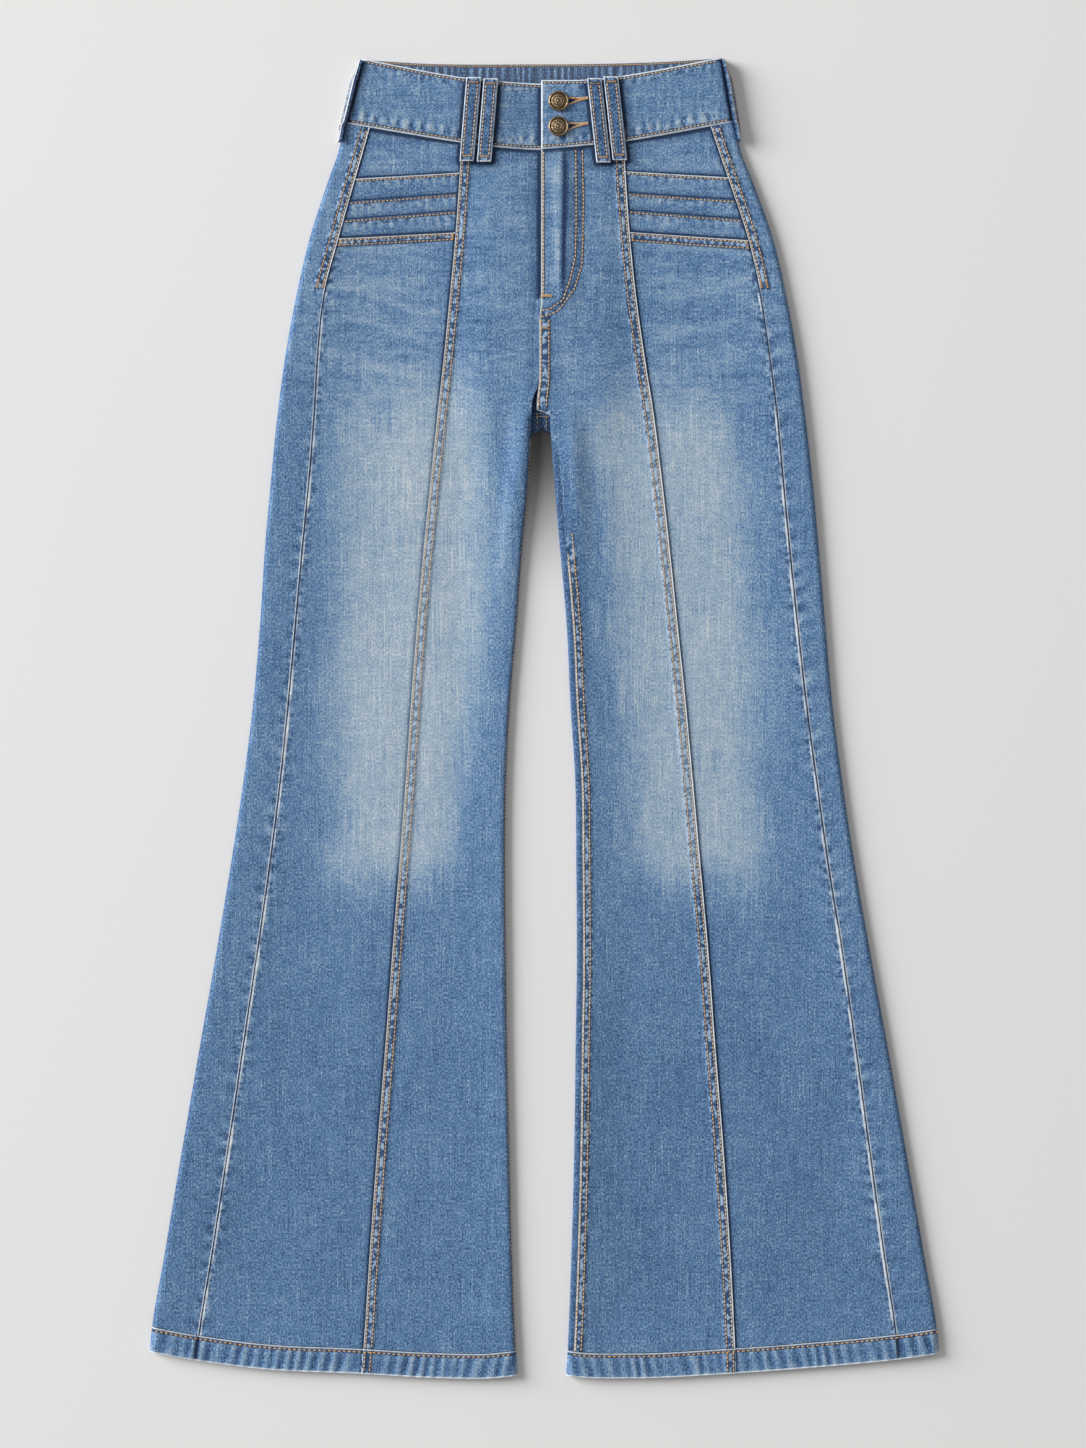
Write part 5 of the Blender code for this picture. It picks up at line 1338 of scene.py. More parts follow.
def zip_tape(finish):
    """Both tapes of the closed zip, flat below the left front."""
    out = ZIP_OUT + np.linspace(-TAPE_WIDTH / 2, TAPE_WIDTH / 2, 15)
    cut = Cut(LEFT)
    cut.add(out, np.linspace(*TAPE_DOWN, 43)[:, None], TAPE_UP[1])
    return cloth(cut, "zip_chain", finish, thickness=TAPE_UP[1] - TAPE_UP[0],
                 rests_on=["fly_shield_cloth"])


def zip_teeth(finish):
    """The closed teeth: small blocks in two rows, each half a step on from those it meshes with."""
    pitch, reach = 1.8, TEETH_WIDTH / 2
    down = np.arange(TAPE_DOWN[0] + 1.0, TAPE_DOWN[1] - 3.0, pitch / 2)[:, None]
    side = np.where(np.arange(len(down)) % 2, 1.0, -1.0)
    corner_out = np.array([-0.7, reach, reach, -0.7])
    corner_down = np.array([-0.4, -0.6, 0.6, 0.4])
    rings = []
    for up, inset in ((TAPE_UP[1], 1.0), (TEETH_UP - 0.5, 1.0), (TEETH_UP, 0.6)):
        out = ZIP_OUT + side[:, None] * corner_out * inset
        rings.append(place_of(LEFT, out, down + corner_down * inset, up))
    points = np.stack(rings, axis=1).reshape(-1, 3)
    first = 12 * np.arange(len(down))[:, None, None]
    k = np.arange(4)
    after = (k + 1) % 4
    bands = np.concatenate([np.stack([r + k, r + 4 + k, r + 4 + after, r + after], axis=-1) for r in (0, 4)])
    ends = np.array([[8, 9, 10, 11], [0, 3, 2, 1]])
    faces = np.concatenate([(first + bands).reshape(-1, 4), (first + ends).reshape(-1, 4)])
    mirrored = np.concatenate([np.repeat(side > 0, 8), np.repeat(side > 0, 2)])
    faces[mirrored] = faces[mirrored][:, ::-1]
    piece = mesh_piece("zip_teeth", points, [faces[:, ::-1]], finish, smooth_angle=30)
    mark(piece, "worn", np.full(len(points), 0.5))
    return piece


# ---------------------------------------------------------------- sewing
class Sewing:
    """Rows of stitches and bar tacks. Each stitch is a small capsule of thread, sunk at both its ends."""

    AROUND = 6
    RINGS = ((-0.5, 0.0), (-0.36, 0.82), (0.0, 1.0), (0.36, 0.82), (0.5, 0.0))  # place along it, and reach

    def __init__(self, seed):
        self.chance = np.random.default_rng(seed)
        self.centres, self.ways, self.facings, self.sizes, self.shades = [], [], [], [], []

    def row(self, path, shade, facing=(0, 0, 1), pitch=PITCH, length=STITCH, width=THREAD, turned=0.0,
            height=0.72):
        """Stitches a pitch apart along a path of points in metres, turned by an angle off it, in radians."""
        steps = np.linalg.norm(np.diff(path, axis=0), axis=1) / MM
        along = np.concatenate([[0.0], np.cumsum(steps)])
        count = max(int(round(along[-1] / pitch)), 1)
        at = (np.arange(count) + 0.5) * along[-1] / count

        def between(where, values):
            return np.stack([np.interp(where, along, values[:, k]) for k in range(3)], axis=-1)

        facing = between(at, np.broadcast_to(np.asarray(facing, float), (len(path), 3)))
        way = between(at + 0.4 * pitch, path) - between(at - 0.4 * pitch, path)
        way /= np.linalg.norm(way, axis=1, keepdims=True)
        angle = turned + self.chance.normal(0.0, 0.05, count)[:, None]
        self.centres.append(between(at, path) + facing * 0.12 * MM)
        self.ways.append(way * np.cos(angle) + np.cross(facing, way) * np.sin(angle))
        self.facings.append(facing)
        size = np.tile([length, width, width * height], (count, 1))
        self.sizes.append(size * self.chance.uniform(0.92, 1.06, (count, 1)) * MM)
        drift = 0.16 * unevenness(np.arange(count) / 9.0, seed=int(shade * 100) + count)
        self.shades.append(np.clip(shade + drift + self.chance.normal(0.0, 0.17, count), 0, 1))

    def tack(self, path, span, shade, width=0.55):
        """A bar tack: threads side by side across a path, at alternate small angles."""
        for lean in (0.16, -0.16):
            self.row(path, shade, pitch=0.8, length=span, width=width, turned=np.pi / 2 + lean, height=0.9)

    def piece(self, name, finish):
        """All the stitches as one piece: each capsule's rings lie along it, round it and over the cloth."""
        centres, ways = np.concatenate(self.centres), np.concatenate(self.ways)
        facings, sizes = np.concatenate(self.facings), np.concatenate(self.sizes)
        facings = facings - ways * np.sum(facings * ways, axis=1, keepdims=True)
        facings /= np.linalg.norm(facings, axis=1, keepdims=True)
        axes = (ways[:, None], np.cross(facings, ways)[:, None], facings[:, None])
        angle = 2 * np.pi * np.arange(self.AROUND) / self.AROUND
        places, spots = [], []
        for x, reach in self.RINGS:
            turns = angle if reach else angle[:1]
            across, up = 0.5 * reach * np.cos(turns), 0.5 * reach * np.sin(turns) - 0.9 * x * x
            places.append(np.stack([np.full(len(turns), x), across, up], axis=-1))
            spots.append(np.stack([np.full(len(turns), x + 0.5), turns / (2 * np.pi)], axis=-1))
        local, spot = np.concatenate(places), np.concatenate(spots)
        scaled = local * sizes[:, None, :]
        points = centres[:, None] + sum(scaled[..., k:k + 1] * axis for k, axis in enumerate(axes))
        n, k = self.AROUND, np.arange(self.AROUND)
        after = (k + 1) % n
        start, end = np.zeros(n, int), np.full(n, 1 + 3 * n)
        last_ring = 1 + 2 * n
        caps = np.concatenate([
            np.stack([start, 1 + after, 1 + k], axis=-1),
            np.stack([end, last_ring + k, last_ring + after], axis=-1),
        ])
        bands = np.concatenate([
            np.stack([r + k, r + after, r + n + after, r + n + k], axis=-1) for r in (1, 1 + n)
        ])
        first = (len(local) * np.arange(len(centres)))[:, None, None]
        faces = [(first + caps).reshape(-1, 3), (first + bands).reshape(-1, 4)]
        uv = np.tile(spot, (len(centres), 1))[np.concatenate([f.ravel() for f in faces])]
        piece = mesh_piece(name, points.reshape(-1, 3), faces, finish, uv, smooth_angle=180)
        mark(piece, "shade", np.repeat(np.concatenate(self.shades), len(local)))
        return piece


def front_line(side, out, down, over=0.0):
    """A path over the front's outer face, which has its seams."""
    return place_of(side, out, down, front_face(side, out, down) + over)


def plain_line(side, out, down, over):
    """A path over the front's plain face, without its seams."""
    return place_of(side, out, down, front_up(side, out, down) + over)


def spots_line(spots):
    """Out and down along the runs between spots, at even steps."""
    out, down = np.array(spots, float).T
    along = np.concatenate([[0], np.cumsum(np.hypot(np.diff(out), np.diff(down)))])
    at = np.linspace(0, along[-1], max(int(along[-1] / ROW_STEP), 2))
    return np.interp(at, along, out), np.interp(at, along, down)


def sew_front_seams(sewing, side):
    """The rows along the panel seam and the hip's side strip, and on the left the fly and its seams."""
    waist, hem_edge = partial(edge_down, WAIST_SEAM[side]), edge_down(HEM_BOTTOM[side], 160.0)
    down = np.arange(waist(72.0) + 2.0, hem_edge - HEM_WIDTH - 0.5, ROW_STEP)
    for inset, shade in zip(STRIP_ROWS, (0.30, 0.45)):
        sewing.row(front_line(side, outline(side, "panel_seam", down) - SEAM_GAP / 2 - inset, down), shade)
    down = np.arange(waist(150.0) + 2.0, 199.0, ROW_STEP)
    end = np.array([197.0, 203.5])
    for inset, shade in zip(STRIP_ROWS, (0.32, 0.5)):
        sewing.row(front_line(side, outline(side, "outseam", down) + SEAM_GAP / 2 + inset, down), shade)
        sewing.tack(front_line(side, outline(side, "outseam", end) + inset, end, 0.2), 1.9, ORANGE)
    down = np.arange(336.0, HEM_LEVEL - 2.0, ROW_STEP)
    inner = outline(side, "inner", down)
    if side == RIGHT:
        turn = np.radians(HIDDEN_INSEAM_TURN)
        up = fold_up(front_up(side, inner + FOLD_RADIUS, down), HIDDEN_INSEAM_TURN)
        path = place_of(side, inner + bent_in(HIDDEN_INSEAM_TURN), down, up)
        sewing.row(path, 0.55, (np.cos(turn), 0, np.sin(turn)), width=0.9)
        return
    for inset, shade, start in zip(INSEAM_ROWS, (0.2, 0.42), (436.0, 418.0)):
        shown = down > start
        out = inner[shown] + FOLD_RADIUS + INSEAM_STEP + inset
        sewing.row(front_line(side, out, down[shown], 0.3), shade)
    for row, shade in zip(FLY_STITCHES, (0.5, 0.42)):
        sewing.row(front_line(side, *spots_line(row), -0.1), shade)
    edge = partial(edge_out, CENTRE_EDGE[LEFT])
    down = np.arange(83.5, 213.0, ROW_STEP)
    sewing.row(front_line(side, edge(down) + FLY_EDGE_ROW, down, -0.1), 0.3)
    down = np.arange(231.0, 309.0, ROW_STEP)
    for inset in CENTRE_SEAM_ROWS:
        sewing.row(front_line(side, edge(down) + inset, down, 0.5), 0.5)
    at_fly_end = np.array([-3.2, 1.0, 6.8]), np.array([211.5, 210.0, 210.8])
    sewing.tack(front_line(side, *at_fly_end, 0.5), 2.7, 0.7, width=0.6)
    at_centre_seam = np.array([-2.5, 3.0]), np.array([238.5, 239.0])
    sewing.tack(front_line(side, *at_centre_seam, 1.0), 1.6, 0.7)


def sew_hips(sewing, side):
    """The rows under the tucks and the two rows of the pocket mouth, with a tack across each of its ends."""
    mouth = MOUTH[side][0]
    mouth_height = MOUTH[side][1].down_outseam - mouth.down_outseam - SEAM_GAP / 2
    lines = [*TUCKS[side], mouth, mouth]
    belows = (*TUCK_ROWS, MOUTH_ROWS[0], mouth_height - MOUTH_ROWS[1])
    lifts, shades = (0.52, 0.52, 0.52, 0.55, 0.5), (0.42, 0.5, 0.55, 0.62, 0.68)
    share = np.linspace(0.012, 0.988, 90)
    for line, below, lift, shade in zip(lines, belows, lifts, shades):
        sewing.row(plain_line(side, *on_line(side, *lowered(line, below), share), lift), shade)
    ends = np.array([1.0, mouth_height - 1.0])
    for share in (0.02, 0.98):
        sewing.tack(plain_line(side, *on_line(side, *lowered(mouth, ends), share), 0.9), 2.0, ORANGE)


def sew_waistband(sewing, side):
    """The rows inside the front band's top edge and above the waist seam."""
    centre = 3.0 if side == RIGHT else BAND_TOP[LEFT][0].out + 2.0
    for edge, inset, count in ((BAND_TOP[side], BAND_ROWS[0], 150), (WAIST_SEAM[side], -BAND_ROWS[1], 160)):
        out = np.linspace(centre, edge[-1].out - FOLD_RADIUS, count)
        sewing.row(place_of(side, out, edge_down(edge, out) + inset, band_up(side, out) - 0.35), 0.36)


def sew_back_band(sewing):
    """The orange row at the very top of the back band's inner face."""
    out = np.linspace(BACK_TOP[0].out + 4.5, BACK_TOP[-1].out - 4.5, 260)
    path = place_of(LEFT, out, edge_down(BACK_TOP, out) + BACK_BAND_ROW, DOUBLE - 0.15)
    sewing.row(path, 0.66, pitch=2.3, length=2.0, width=1.15)


def sew_buttonholes(sewing):
    """Each buttonhole's threads: close stitches on both sides of its slit, which meet in a bar at its end."""
    for level in BUTTONS_DOWN.values():
        for way in (-1, 1):
            out = np.linspace(BUTTON_OUT + 7.5, 34.0, 40)
            down = level + way * (3.0 - 2.2 * smooth_step(19, 32, out)) - 0.16 * (out - 20)
            path = place_of(LEFT, out, down, band_up(LEFT, out) + 0.35)
            sewing.row(path, 0.5, pitch=0.7, length=2.2, width=0.75, turned=1.2 * way)
        ends = np.array([32.5, 38.5])
        sewing.tack(place_of(LEFT, ends, slit_down(level, ends), LAP_BAND_UP + 0.5), 3.0, 0.55, width=0.7)


def sew_loops(sewing):
    """Two rows down each front loop, a tack across both its ends, and the rows on the side loops."""
    for loop in LOOPS:
        inset = LOOP_ROW / (loop.top_outer - loop.top_inner)
        for across in (inset, 1 - inset):
            out, down, up = loop_face(loop, np.linspace(0.03, 0.97, 60), across)
            sewing.row(place_of(loop.side, out, down, up - 0.3), 0.4)
        for end in (0.062, 0.938):
            out, down, up = loop_face(loop, end, np.array([0.17, 0.83]))
            sewing.tack(place_of(loop.side, out, down, up + 0.35), 1.7, 0.75)
    for side in SIDES:
        for up in (SIDE_LOOP_ROW, SIDE_LOOP_HEIGHT - SIDE_LOOP_ROW):
            out, down = side_loop_face(side, np.linspace(0.05, 0.95, 50), up)
            sewing.row(place_of(side, out - 0.25, down, up), 0.4, (side, 0, 0))


def sew_hem(sewing, side):
    """The hem's row, over the front and round the outer fold."""
    fold = outline(side, "fold", HEM_LEVEL)
    out = np.linspace(outline(side, "inner", HEM_LEVEL) + FOLD_RADIUS, fold - FOLD_RADIUS, 260)
    turns = np.linspace(85, 8, 12)
    turned = np.radians(turns)
    facing = np.stack([side * np.cos(turned), 0 * turns, np.sin(turned)], axis=-1)

    def row_down(out):
        return edge_down(HEM_BOTTOM[side], out) - HEM_WIDTH + SEAM_GAP + HEM_ROW

    flat = plain_line(side, out, row_down(out), HEM_RAISE + 0.05)
    sewing.row(flat, 0.72, pitch=HEM_PITCH, length=HEM_STITCH)
    out = fold - bent_in(turns)
    down = row_down(out)
    up = fold_up(front_up(side, fold - FOLD_RADIUS, down), turns)
    sewing.row(place_of(side, out, down, up), 0.72, facing, pitch=HEM_PITCH, length=HEM_STITCH)
    down = np.linspace(HEM_LEVEL - 2.0, LENGTH - 6.0, 20)
    for inset, shade in zip(STRIP_ROWS, (0.4, 0.5)):
        sewing.row(plain_line(side, outline(side, "panel_seam", down) - inset, down, 0.9), shade)


def sew_seat(sewing):
    """The rows beside the seat seam where it shows at the crotch, on the back's inner face, and across it."""
    along, across = np.linspace(312.5, 329.5, 26), np.linspace(-8.0, 5.0, 20)
    over = CLOTH + 0.15
    for out in (-6.4, 1.6):
        sewing.row(place_of(LEFT, out, along, seat_up(abs(out), along) + over), 0.3, width=0.95)
    for down in (313.6, 316.2):
        sewing.row(place_of(LEFT, across, down, seat_up(np.abs(across), down) + over), 0.15, width=0.8)


# ---------------------------------------------------------------- finishes
class Nodes:
    """A material's nodes, added one by one. Each method gives back the socket that holds its result."""

    def __init__(self, name, roughness, metallic=0.0, **settings):
        self.material = bpy.data.materials.new(name)
        self.material.use_nodes = True
        self.tree = self.material.node_tree
        self.shader = self.tree.nodes["Principled BSDF"]
        for socket, value in {"Roughness": roughness, "Metallic": metallic, **settings}.items():
            self.shader.inputs[socket].default_value = value

    def add(self, kind, inputs=(), **settings):
        """A node of this kind, with its settings, and its inputs as (socket's name or number, value)."""
        node = self.tree.nodes.new("ShaderNode" + kind)
        for name, value in settings.items():
            setattr(node, name, value)
        for socket, value in inputs:
            self.put(node.inputs[socket], value)
        return node

    def put(self, socket, value):
        if isinstance(value, bpy.types.NodeSocket):
            self.tree.links.new(value, socket)
        else:
            socket.default_value = value

    def finished(self, colour):
        self.put(self.shader.inputs["Base Color"], colour)
        return self.material

    def math(self, operation, *values):
        return self.add("Math", enumerate((*values, 0.0, 0.0)[:3]), operation=operation).outputs[0]

    def product(self, a, b):
        return self.math("MULTIPLY", a, b)

    def total(self, *weighted):
        """The sum of sockets times weights."""
        result = 0.0
        for value, weight in weighted:
            result = self.math("MULTIPLY_ADD", value, weight, result)
        return result

    def ramp(self, value, low, high, out_low=0.0, out_high=1.0):
        """A smooth rise from out_low to out_high between two values. low may be the larger one."""
        ends = ("From Min", low), ("From Max", high), ("To Min", out_low), ("To Max", out_high)
        node = self.add("MapRange", (*ends, ("Value", value)), interpolation_type="SMOOTHSTEP")
        return node.outputs["Result"]

    def stretched(self, at, across, along, shift=0.0):
        sizes = ("Scale", (across, along, 1.0)), ("Location", (shift, shift, 0.0))
        return self.add("Mapping", (*sizes, ("Vector", at))).outputs[0]

    def noise(self, at, detail=2.0, roughness=0.5, scale=1.0):
        """Cloudy noise about 0, mostly from -0.5 to 0.5."""
        sizes = ("Scale", scale), ("Detail", detail), ("Roughness", roughness), ("Vector", at)
        return self.math("MULTIPLY_ADD", self.add("TexNoise", sizes).outputs[0], 2.0, -1.0)

    def attribute(self, name):
        return self.add("Attribute", attribute_name=name).outputs["Fac"]

    def cloth_map(self):
        return self.add("UVMap", uv_map="cloth").outputs[0]

    def object_place(self):
        return self.add("TexCoord").outputs["Object"]

    def split(self, vector):
        return self.add("SeparateXYZ", [(0, vector)]).outputs

    def mixed(self, share, a, b):
        mix = self.add("Mix", data_type="RGBA", clamp_factor=True)
        for socket, value in zip((0, 6, 7), (share, a, b)):
            self.put(mix.inputs[socket], value)
        return mix.outputs[2]

    def shades(self, value, stops):
        """A colour ramp through (place, colour) stops."""
        node = self.add("ValToRGB", [(0, value)])
        elements = node.color_ramp.elements
        for element, (place, colour) in zip(list(elements), (stops[0], stops[-1])):
            element.position, element.color = place, (*colour, 1.0)
        for place, colour in stops[1:-1]:
            elements.new(place).color = (*colour, 1.0)
        return node.outputs[0]

    def bumped(self, height, distance, strength):
        sizes = ("Strength", strength), ("Distance", distance), ("Height", height)
        self.put(self.shader.inputs["Normal"], self.add("Bump", sizes).outputs[0])


def denim_finish(looks):
    """Washed denim: twill lines, flecks, slubs along the warp, faded tone, worn edges, dark seams and painted
    shade.

    One number for how pale the cloth is runs up a ramp of blues. It adds the piece's tone to noises at the
    sizes of the threads, of the flecks and of clouds in the dye. The marks then draw in worn edges, dark seam
    lines, and painted shade beside raised seams, tucks, loops and laps.
    """
    n = Nodes("washed_denim", roughness=0.93, **{
        "Specular IOR Level": 0.22, "Sheen Weight": 0.10, "Sheen Roughness": 0.5,
    })
    tone, pucker, seam_thread, seam_line_and_painted_shade = map(n.attribute, ("tone", "pucker", "thread", "groove"))
    at = n.stretched(n.cloth_map(), PER_METRE, PER_METRE)
    fleck = n.noise(n.stretched(at, 0.70, 0.48), detail=3.0, roughness=0.62)
    yarn = n.noise(n.stretched(at, 1.7, 1.15, 7.0), detail=1.0)
    slub = n.ramp(n.noise(n.stretched(at, 0.72, 0.017), detail=1.5), 0.05, 0.50)
    dark_slub = n.ramp(n.noise(n.stretched(at, 0.8, 0.020, 31.0), detail=1.0), 0.10, 0.50)
    cloud = n.noise(n.stretched(at, 0.024, 0.018, 3.0), detail=2.0)
    patch = n.noise(n.stretched(at, 0.13, 0.10, 5.0), detail=2.0)
    puckers = n.noise(n.stretched(at, 0.17, 0.21, 13.0), detail=1.5, roughness=0.6)
    puckered = n.product(n.ramp(puckers, -0.22, 0.22, -1.0, 1.0), pucker)
    weft_place, warp_place = n.split(at)[:2]
    turn = 2 * np.pi / looks.twill_spacing
    twill = n.math("SINE", n.total((weft_place, 0.86 * turn), (warp_place, 0.5 * turn), (fleck, 2.2)))
    slubs = n.product(n.total((slub, 0.20), (dark_slub, -0.17)), n.math("MULTIPLY_ADD", tone, 0.1, 0.85))
    crumple = n.noise(n.stretched(at, 0.05, 0.23, 21.0), detail=2.0, roughness=0.6)
    towards_waist = n.split(n.object_place())[1]
    crumpled = n.product(crumple, n.ramp(towards_waist, 0.20, 0.30, 0.05, 0.20))
    grain = n.product(n.total((fleck, 0.80), (yarn, 0.33)), n.math("MULTIPLY_ADD", tone, -0.34, 1.02))
    pale = n.total((tone, 0.36), (grain, looks.flecks), (slubs, 0.90), (cloud, 0.07), (patch, 0.15),
                   (puckered, 0.10), (twill, 0.05), (crumpled, 1.0))
    colour = n.shades(n.math("ADD", pale, 0.42), (
        (0.00, (0.020, 0.045, 0.110)),
        (0.22, (0.070, 0.140, 0.275)),
        (0.42, looks.blue),
        (0.78, looks.faded),
        (1.00, (0.62, 0.67, 0.70)),
    ))
    rough = n.math("ADD", puckered, n.product(pucker, n.product(fleck, 0.8)))
    ragged = n.total((fleck, 1.5), (yarn, 0.5))
    unfaded = n.ramp(tone, 1.1, 0.3, 0.45, 1.0)
    # groove: the dark lines, from seams' own joints and from painted shade beside raised edges, loops and
    # laps
    groove = n.ramp(n.total((seam_line_and_painted_shade, 1.0), (ragged, 0.4)), 2.3, 1.0, 0.0, 0.94)
    worn_to = n.total((n.attribute("wear"), 1.0), (ragged, 0.55))
    edge = n.product(n.ramp(worn_to, looks.worn_edge + 0.35, looks.worn_edge - 0.45),
                     n.ramp(patch, -0.45, 0.05, 0.60, 1.0))
    pale_pucker = n.ramp(rough, 0.12, 0.70, 0.0, 0.85)
    dark_pucker = n.product(n.ramp(rough, -0.02, -0.48, 0.0, 0.85), unfaded)
    fluff = n.product(n.ramp(seam_thread, 2.2, 1.1), n.ramp(fleck, -0.3, 0.4, 0.0, 0.10))
    under_row = n.product(n.ramp(seam_thread, 1.5, 0.7, 0.0, 0.90), unfaded)
    # soft painted shade beside seams and raised edges, weaker where the cloth is faded
    indigo_and_painted_shade_by_seam = n.product(n.ramp(seam_line_and_painted_shade, 6.0, 0.6, 0.0, 0.42), unfaded)
    for share, tint in (
        (pale_pucker, (0.38, 0.50, 0.65)),
        (dark_pucker, (0.028, 0.072, 0.175)),
        (fluff, (0.50, 0.58, 0.64)),
        (under_row, (0.030, 0.055, 0.115)),
        (indigo_and_painted_shade_by_seam, (0.030, 0.070, 0.160)),
        (n.product(groove, unfaded), (0.014, 0.034, 0.088)),
        (edge, looks.worn),
    ):
        colour = n.mixed(share, colour, (*tint, 1.0))
    weft = n.shades(n.total((fleck, 0.5), (twill, 0.15)), (
        (0.0, (0.42, 0.47, 0.52)),
        (0.5, (0.60, 0.63, 0.66)),
    ))
    relief = n.total((crumpled, 4.2), (fleck, 0.40), (yarn, 0.25), (slub, 0.30), (puckered, 0.9),
                     (twill, 0.22), (edge, 0.5))
    n.bumped(relief, 0.00042, 0.75)
    return n.finished(n.mixed(n.product(n.attribute("inside"), 0.85), colour, weft))


def thread_finish(looks):
    """Sewing thread: tan to orange, each stitch a little different, with the twist of its plies."""
    n = Nodes("topstitch_thread", roughness=0.62, **{"Sheen Weight": 0.15})
    along, around = n.split(n.cloth_map())[:2]
    twist = n.math("SINE", n.total((along, 15.0), (around, 2 * np.pi)))
    worn = n.noise(n.stretched(n.object_place(), 900.0, 900.0), detail=2.0)
    shade = n.total((n.attribute("shade"), 1.0), (worn, 0.22), (twist, 0.05))
    orange = np.array(looks.thread_orange)
    stops = (0.0, (0.70, 0.57, 0.42)), (0.35, looks.thread), (0.75, orange), (1.0, orange * 0.8)
    n.bumped(twist, 0.00012, 0.6)
    return n.finished(n.shades(shade, stops))


def brass_finish(looks):
    """Antique brass: bright where it is raised and worn, dark and dull in its grooves, with fine pits."""
    n = Nodes("antique_brass", roughness=0.4, metallic=1.0)
    place = n.stretched(n.object_place(), PER_METRE, PER_METRE)
    pits = n.noise(place, detail=3.0, roughness=0.65, scale=1.7)
    stain = n.noise(place, detail=2.0, scale=0.45)
    worn = n.total((n.attribute("worn"), 1.0), (pits, 0.35), (stain, 0.3))
    bright = np.array(looks.brass)
    stops = (0.0, bright * 0.14), (0.45, bright * 0.62), (0.8, bright), (1.0, np.minimum(bright * 1.5, 1))
    n.put(n.shader.inputs["Roughness"], n.ramp(worn, 0.1, 0.9, 0.58, 0.34))
    n.bumped(pits, 0.00012, 0.6)
    return n.finished(n.shades(worn, stops))


def tape_finish(looks):
    """The zip's woven tape: dark, with fine ribs across it."""
    n = Nodes("zip_tape_weave", roughness=0.85)
    down = n.split(n.stretched(n.cloth_map(), PER_METRE, PER_METRE))[1]
    ribs = n.math("SINE", n.product(down, 7.0))
    fleck = n.noise(n.stretched(n.cloth_map(), 1500.0, 1500.0), detail=2.0)
    n.bumped(ribs, 0.0002, 0.6)
    stops = (0.0, (0.035, 0.06, 0.11)), (0.6, (0.08, 0.13, 0.22))
    return n.finished(n.shades(n.total((ribs, 0.2), (fleck, 0.4)), stops))


def floor_finish(stage):
    """A plain pale surface, slightly uneven, with a painted shadow in the narrow gap between the legs."""
    n = Nodes("pale_floor_painted_shadow", roughness=0.9, **{"Specular IOR Level": 0.15})
    cloud = n.noise(n.object_place(), detail=1.0, scale=1.3)
    colour = np.array(stage.floor_colour)
    pale = n.shades(cloud, ((0.0, colour), (1.0, colour * 0.985)))
    sideways, towards_waist = n.split(n.object_place())[:2]
    # painted shadow: a dark patch under the crotch, narrow across the gap and fading down towards the hems
    below = n.product(n.ramp(towards_waist, 0.10, 0.258, 0.0, 0.96), n.ramp(towards_waist, 0.34, 0.30))
    beside = n.ramp(n.math("ABSOLUTE", sideways), 0.040, 0.004)
    return n.finished(n.mixed(n.product(below, beside), pale, (0.05, 0.048, 0.045, 1.0)))


# ---------------------------------------------------------------- sizes and colours that a user may change
def colour_property(name, description, default):
    return bpy.props.FloatVectorProperty(name=name, description=description, default=default, size=3, min=0,
                                         max=1, subtype="COLOR")


def size_property(name, description, default, least, **more):
    return bpy.props.FloatProperty(name=name, description=description, default=default, min=least, **more)


class JeansCloth(bpy.types.PropertyGroup):
    """The denim's and the thread's colours, and the sizes of what their surfaces show."""

    blue: colour_property("Blue", "The denim where it is neither faded nor dark", (0.098, 0.222, 0.434))
    faded: colour_property("Faded", "The denim down the front of the legs", (0.360, 0.472, 0.578))
    worn: colour_property("Worn", "The bared cotton along folded edges", (0.74, 0.79, 0.83))
    twill_spacing: size_property("Twill spacing", "Between two twill lines, in mm", 1.15, 0.5, max=3.0)
    flecks: size_property("Flecks", "How strong the flecks are", 1.0, 0.0, max=2.0, subtype="FACTOR")
    worn_edge: size_property("Worn edge", "Width of the pale edges, in mm", 0.95, 0.3, max=3.0)
    thread: colour_property("Thread", "The topstitching", (0.62, 0.44, 0.265))
    thread_orange: colour_property("Orange thread", "Bar tacks, buttonholes and hem rows", (0.66, 0.38, 0.15))
    brass: colour_property("Brass", "The raised parts of the buttons", (0.38, 0.275, 0.175))


class JeansStage(bpy.types.PropertyGroup):
    """The camera, the lights and the floor."""

    camera_height: size_property("Camera height", "Above the floor", 3.0146, 0.5, unit="LENGTH")
    camera_x: size_property("Camera X", "Sideways from the middle", -0.0011, -1.0, unit="LENGTH")
    camera_y: size_property("Camera Y", "Towards the waist from the middle", -0.0052, -1.0, unit="LENGTH")
    lens: size_property("Lens", "Focal length in millimetres", 85.0, 20.0)
    key_power: size_property("Key light", "The soft light from the upper left", 2950.0, 0.0, unit="POWER")
    sky: size_property("Sky", "The even light from all round", 0.34, 0.0)
    floor_colour: colour_property("Floor", "The surface that the jeans lie on", (0.83, 0.82, 0.81))


# ---------------------------------------------------------------- making the pieces
def finish_named(name, make, looks):
    """The material of this name, made when it is first asked for."""
    return bpy.data.materials.get(name) or make(looks)


def denim(context):
    return finish_named("washed_denim", denim_finish, context.scene.jeans_cloth)


def made_on_both_sides(context, *pieces):
    """Makes pieces of denim, all of them on the right before the left."""
    for side in SIDES:
        for make in pieces:
            make(side, denim(context))
    return {"FINISHED"}


class JEANS_OT_legs(bpy.types.Operator):
    """Make the centre fronts, side fronts and backs"""

    bl_idname = "jeans.legs"
    bl_label = "Legs"

    def execute(self, context):
        return made_on_both_sides(context, back_panel, centre_front, side_front)


class JEANS_OT_hips(bpy.types.Operator):
    """Make the tucked hip panels and the pocket mouths"""

    bl_idname = "jeans.hips"
    bl_label = "Hips"

    def execute(self, context):
        return made_on_both_sides(context, hip_panel, pocket_mouth)


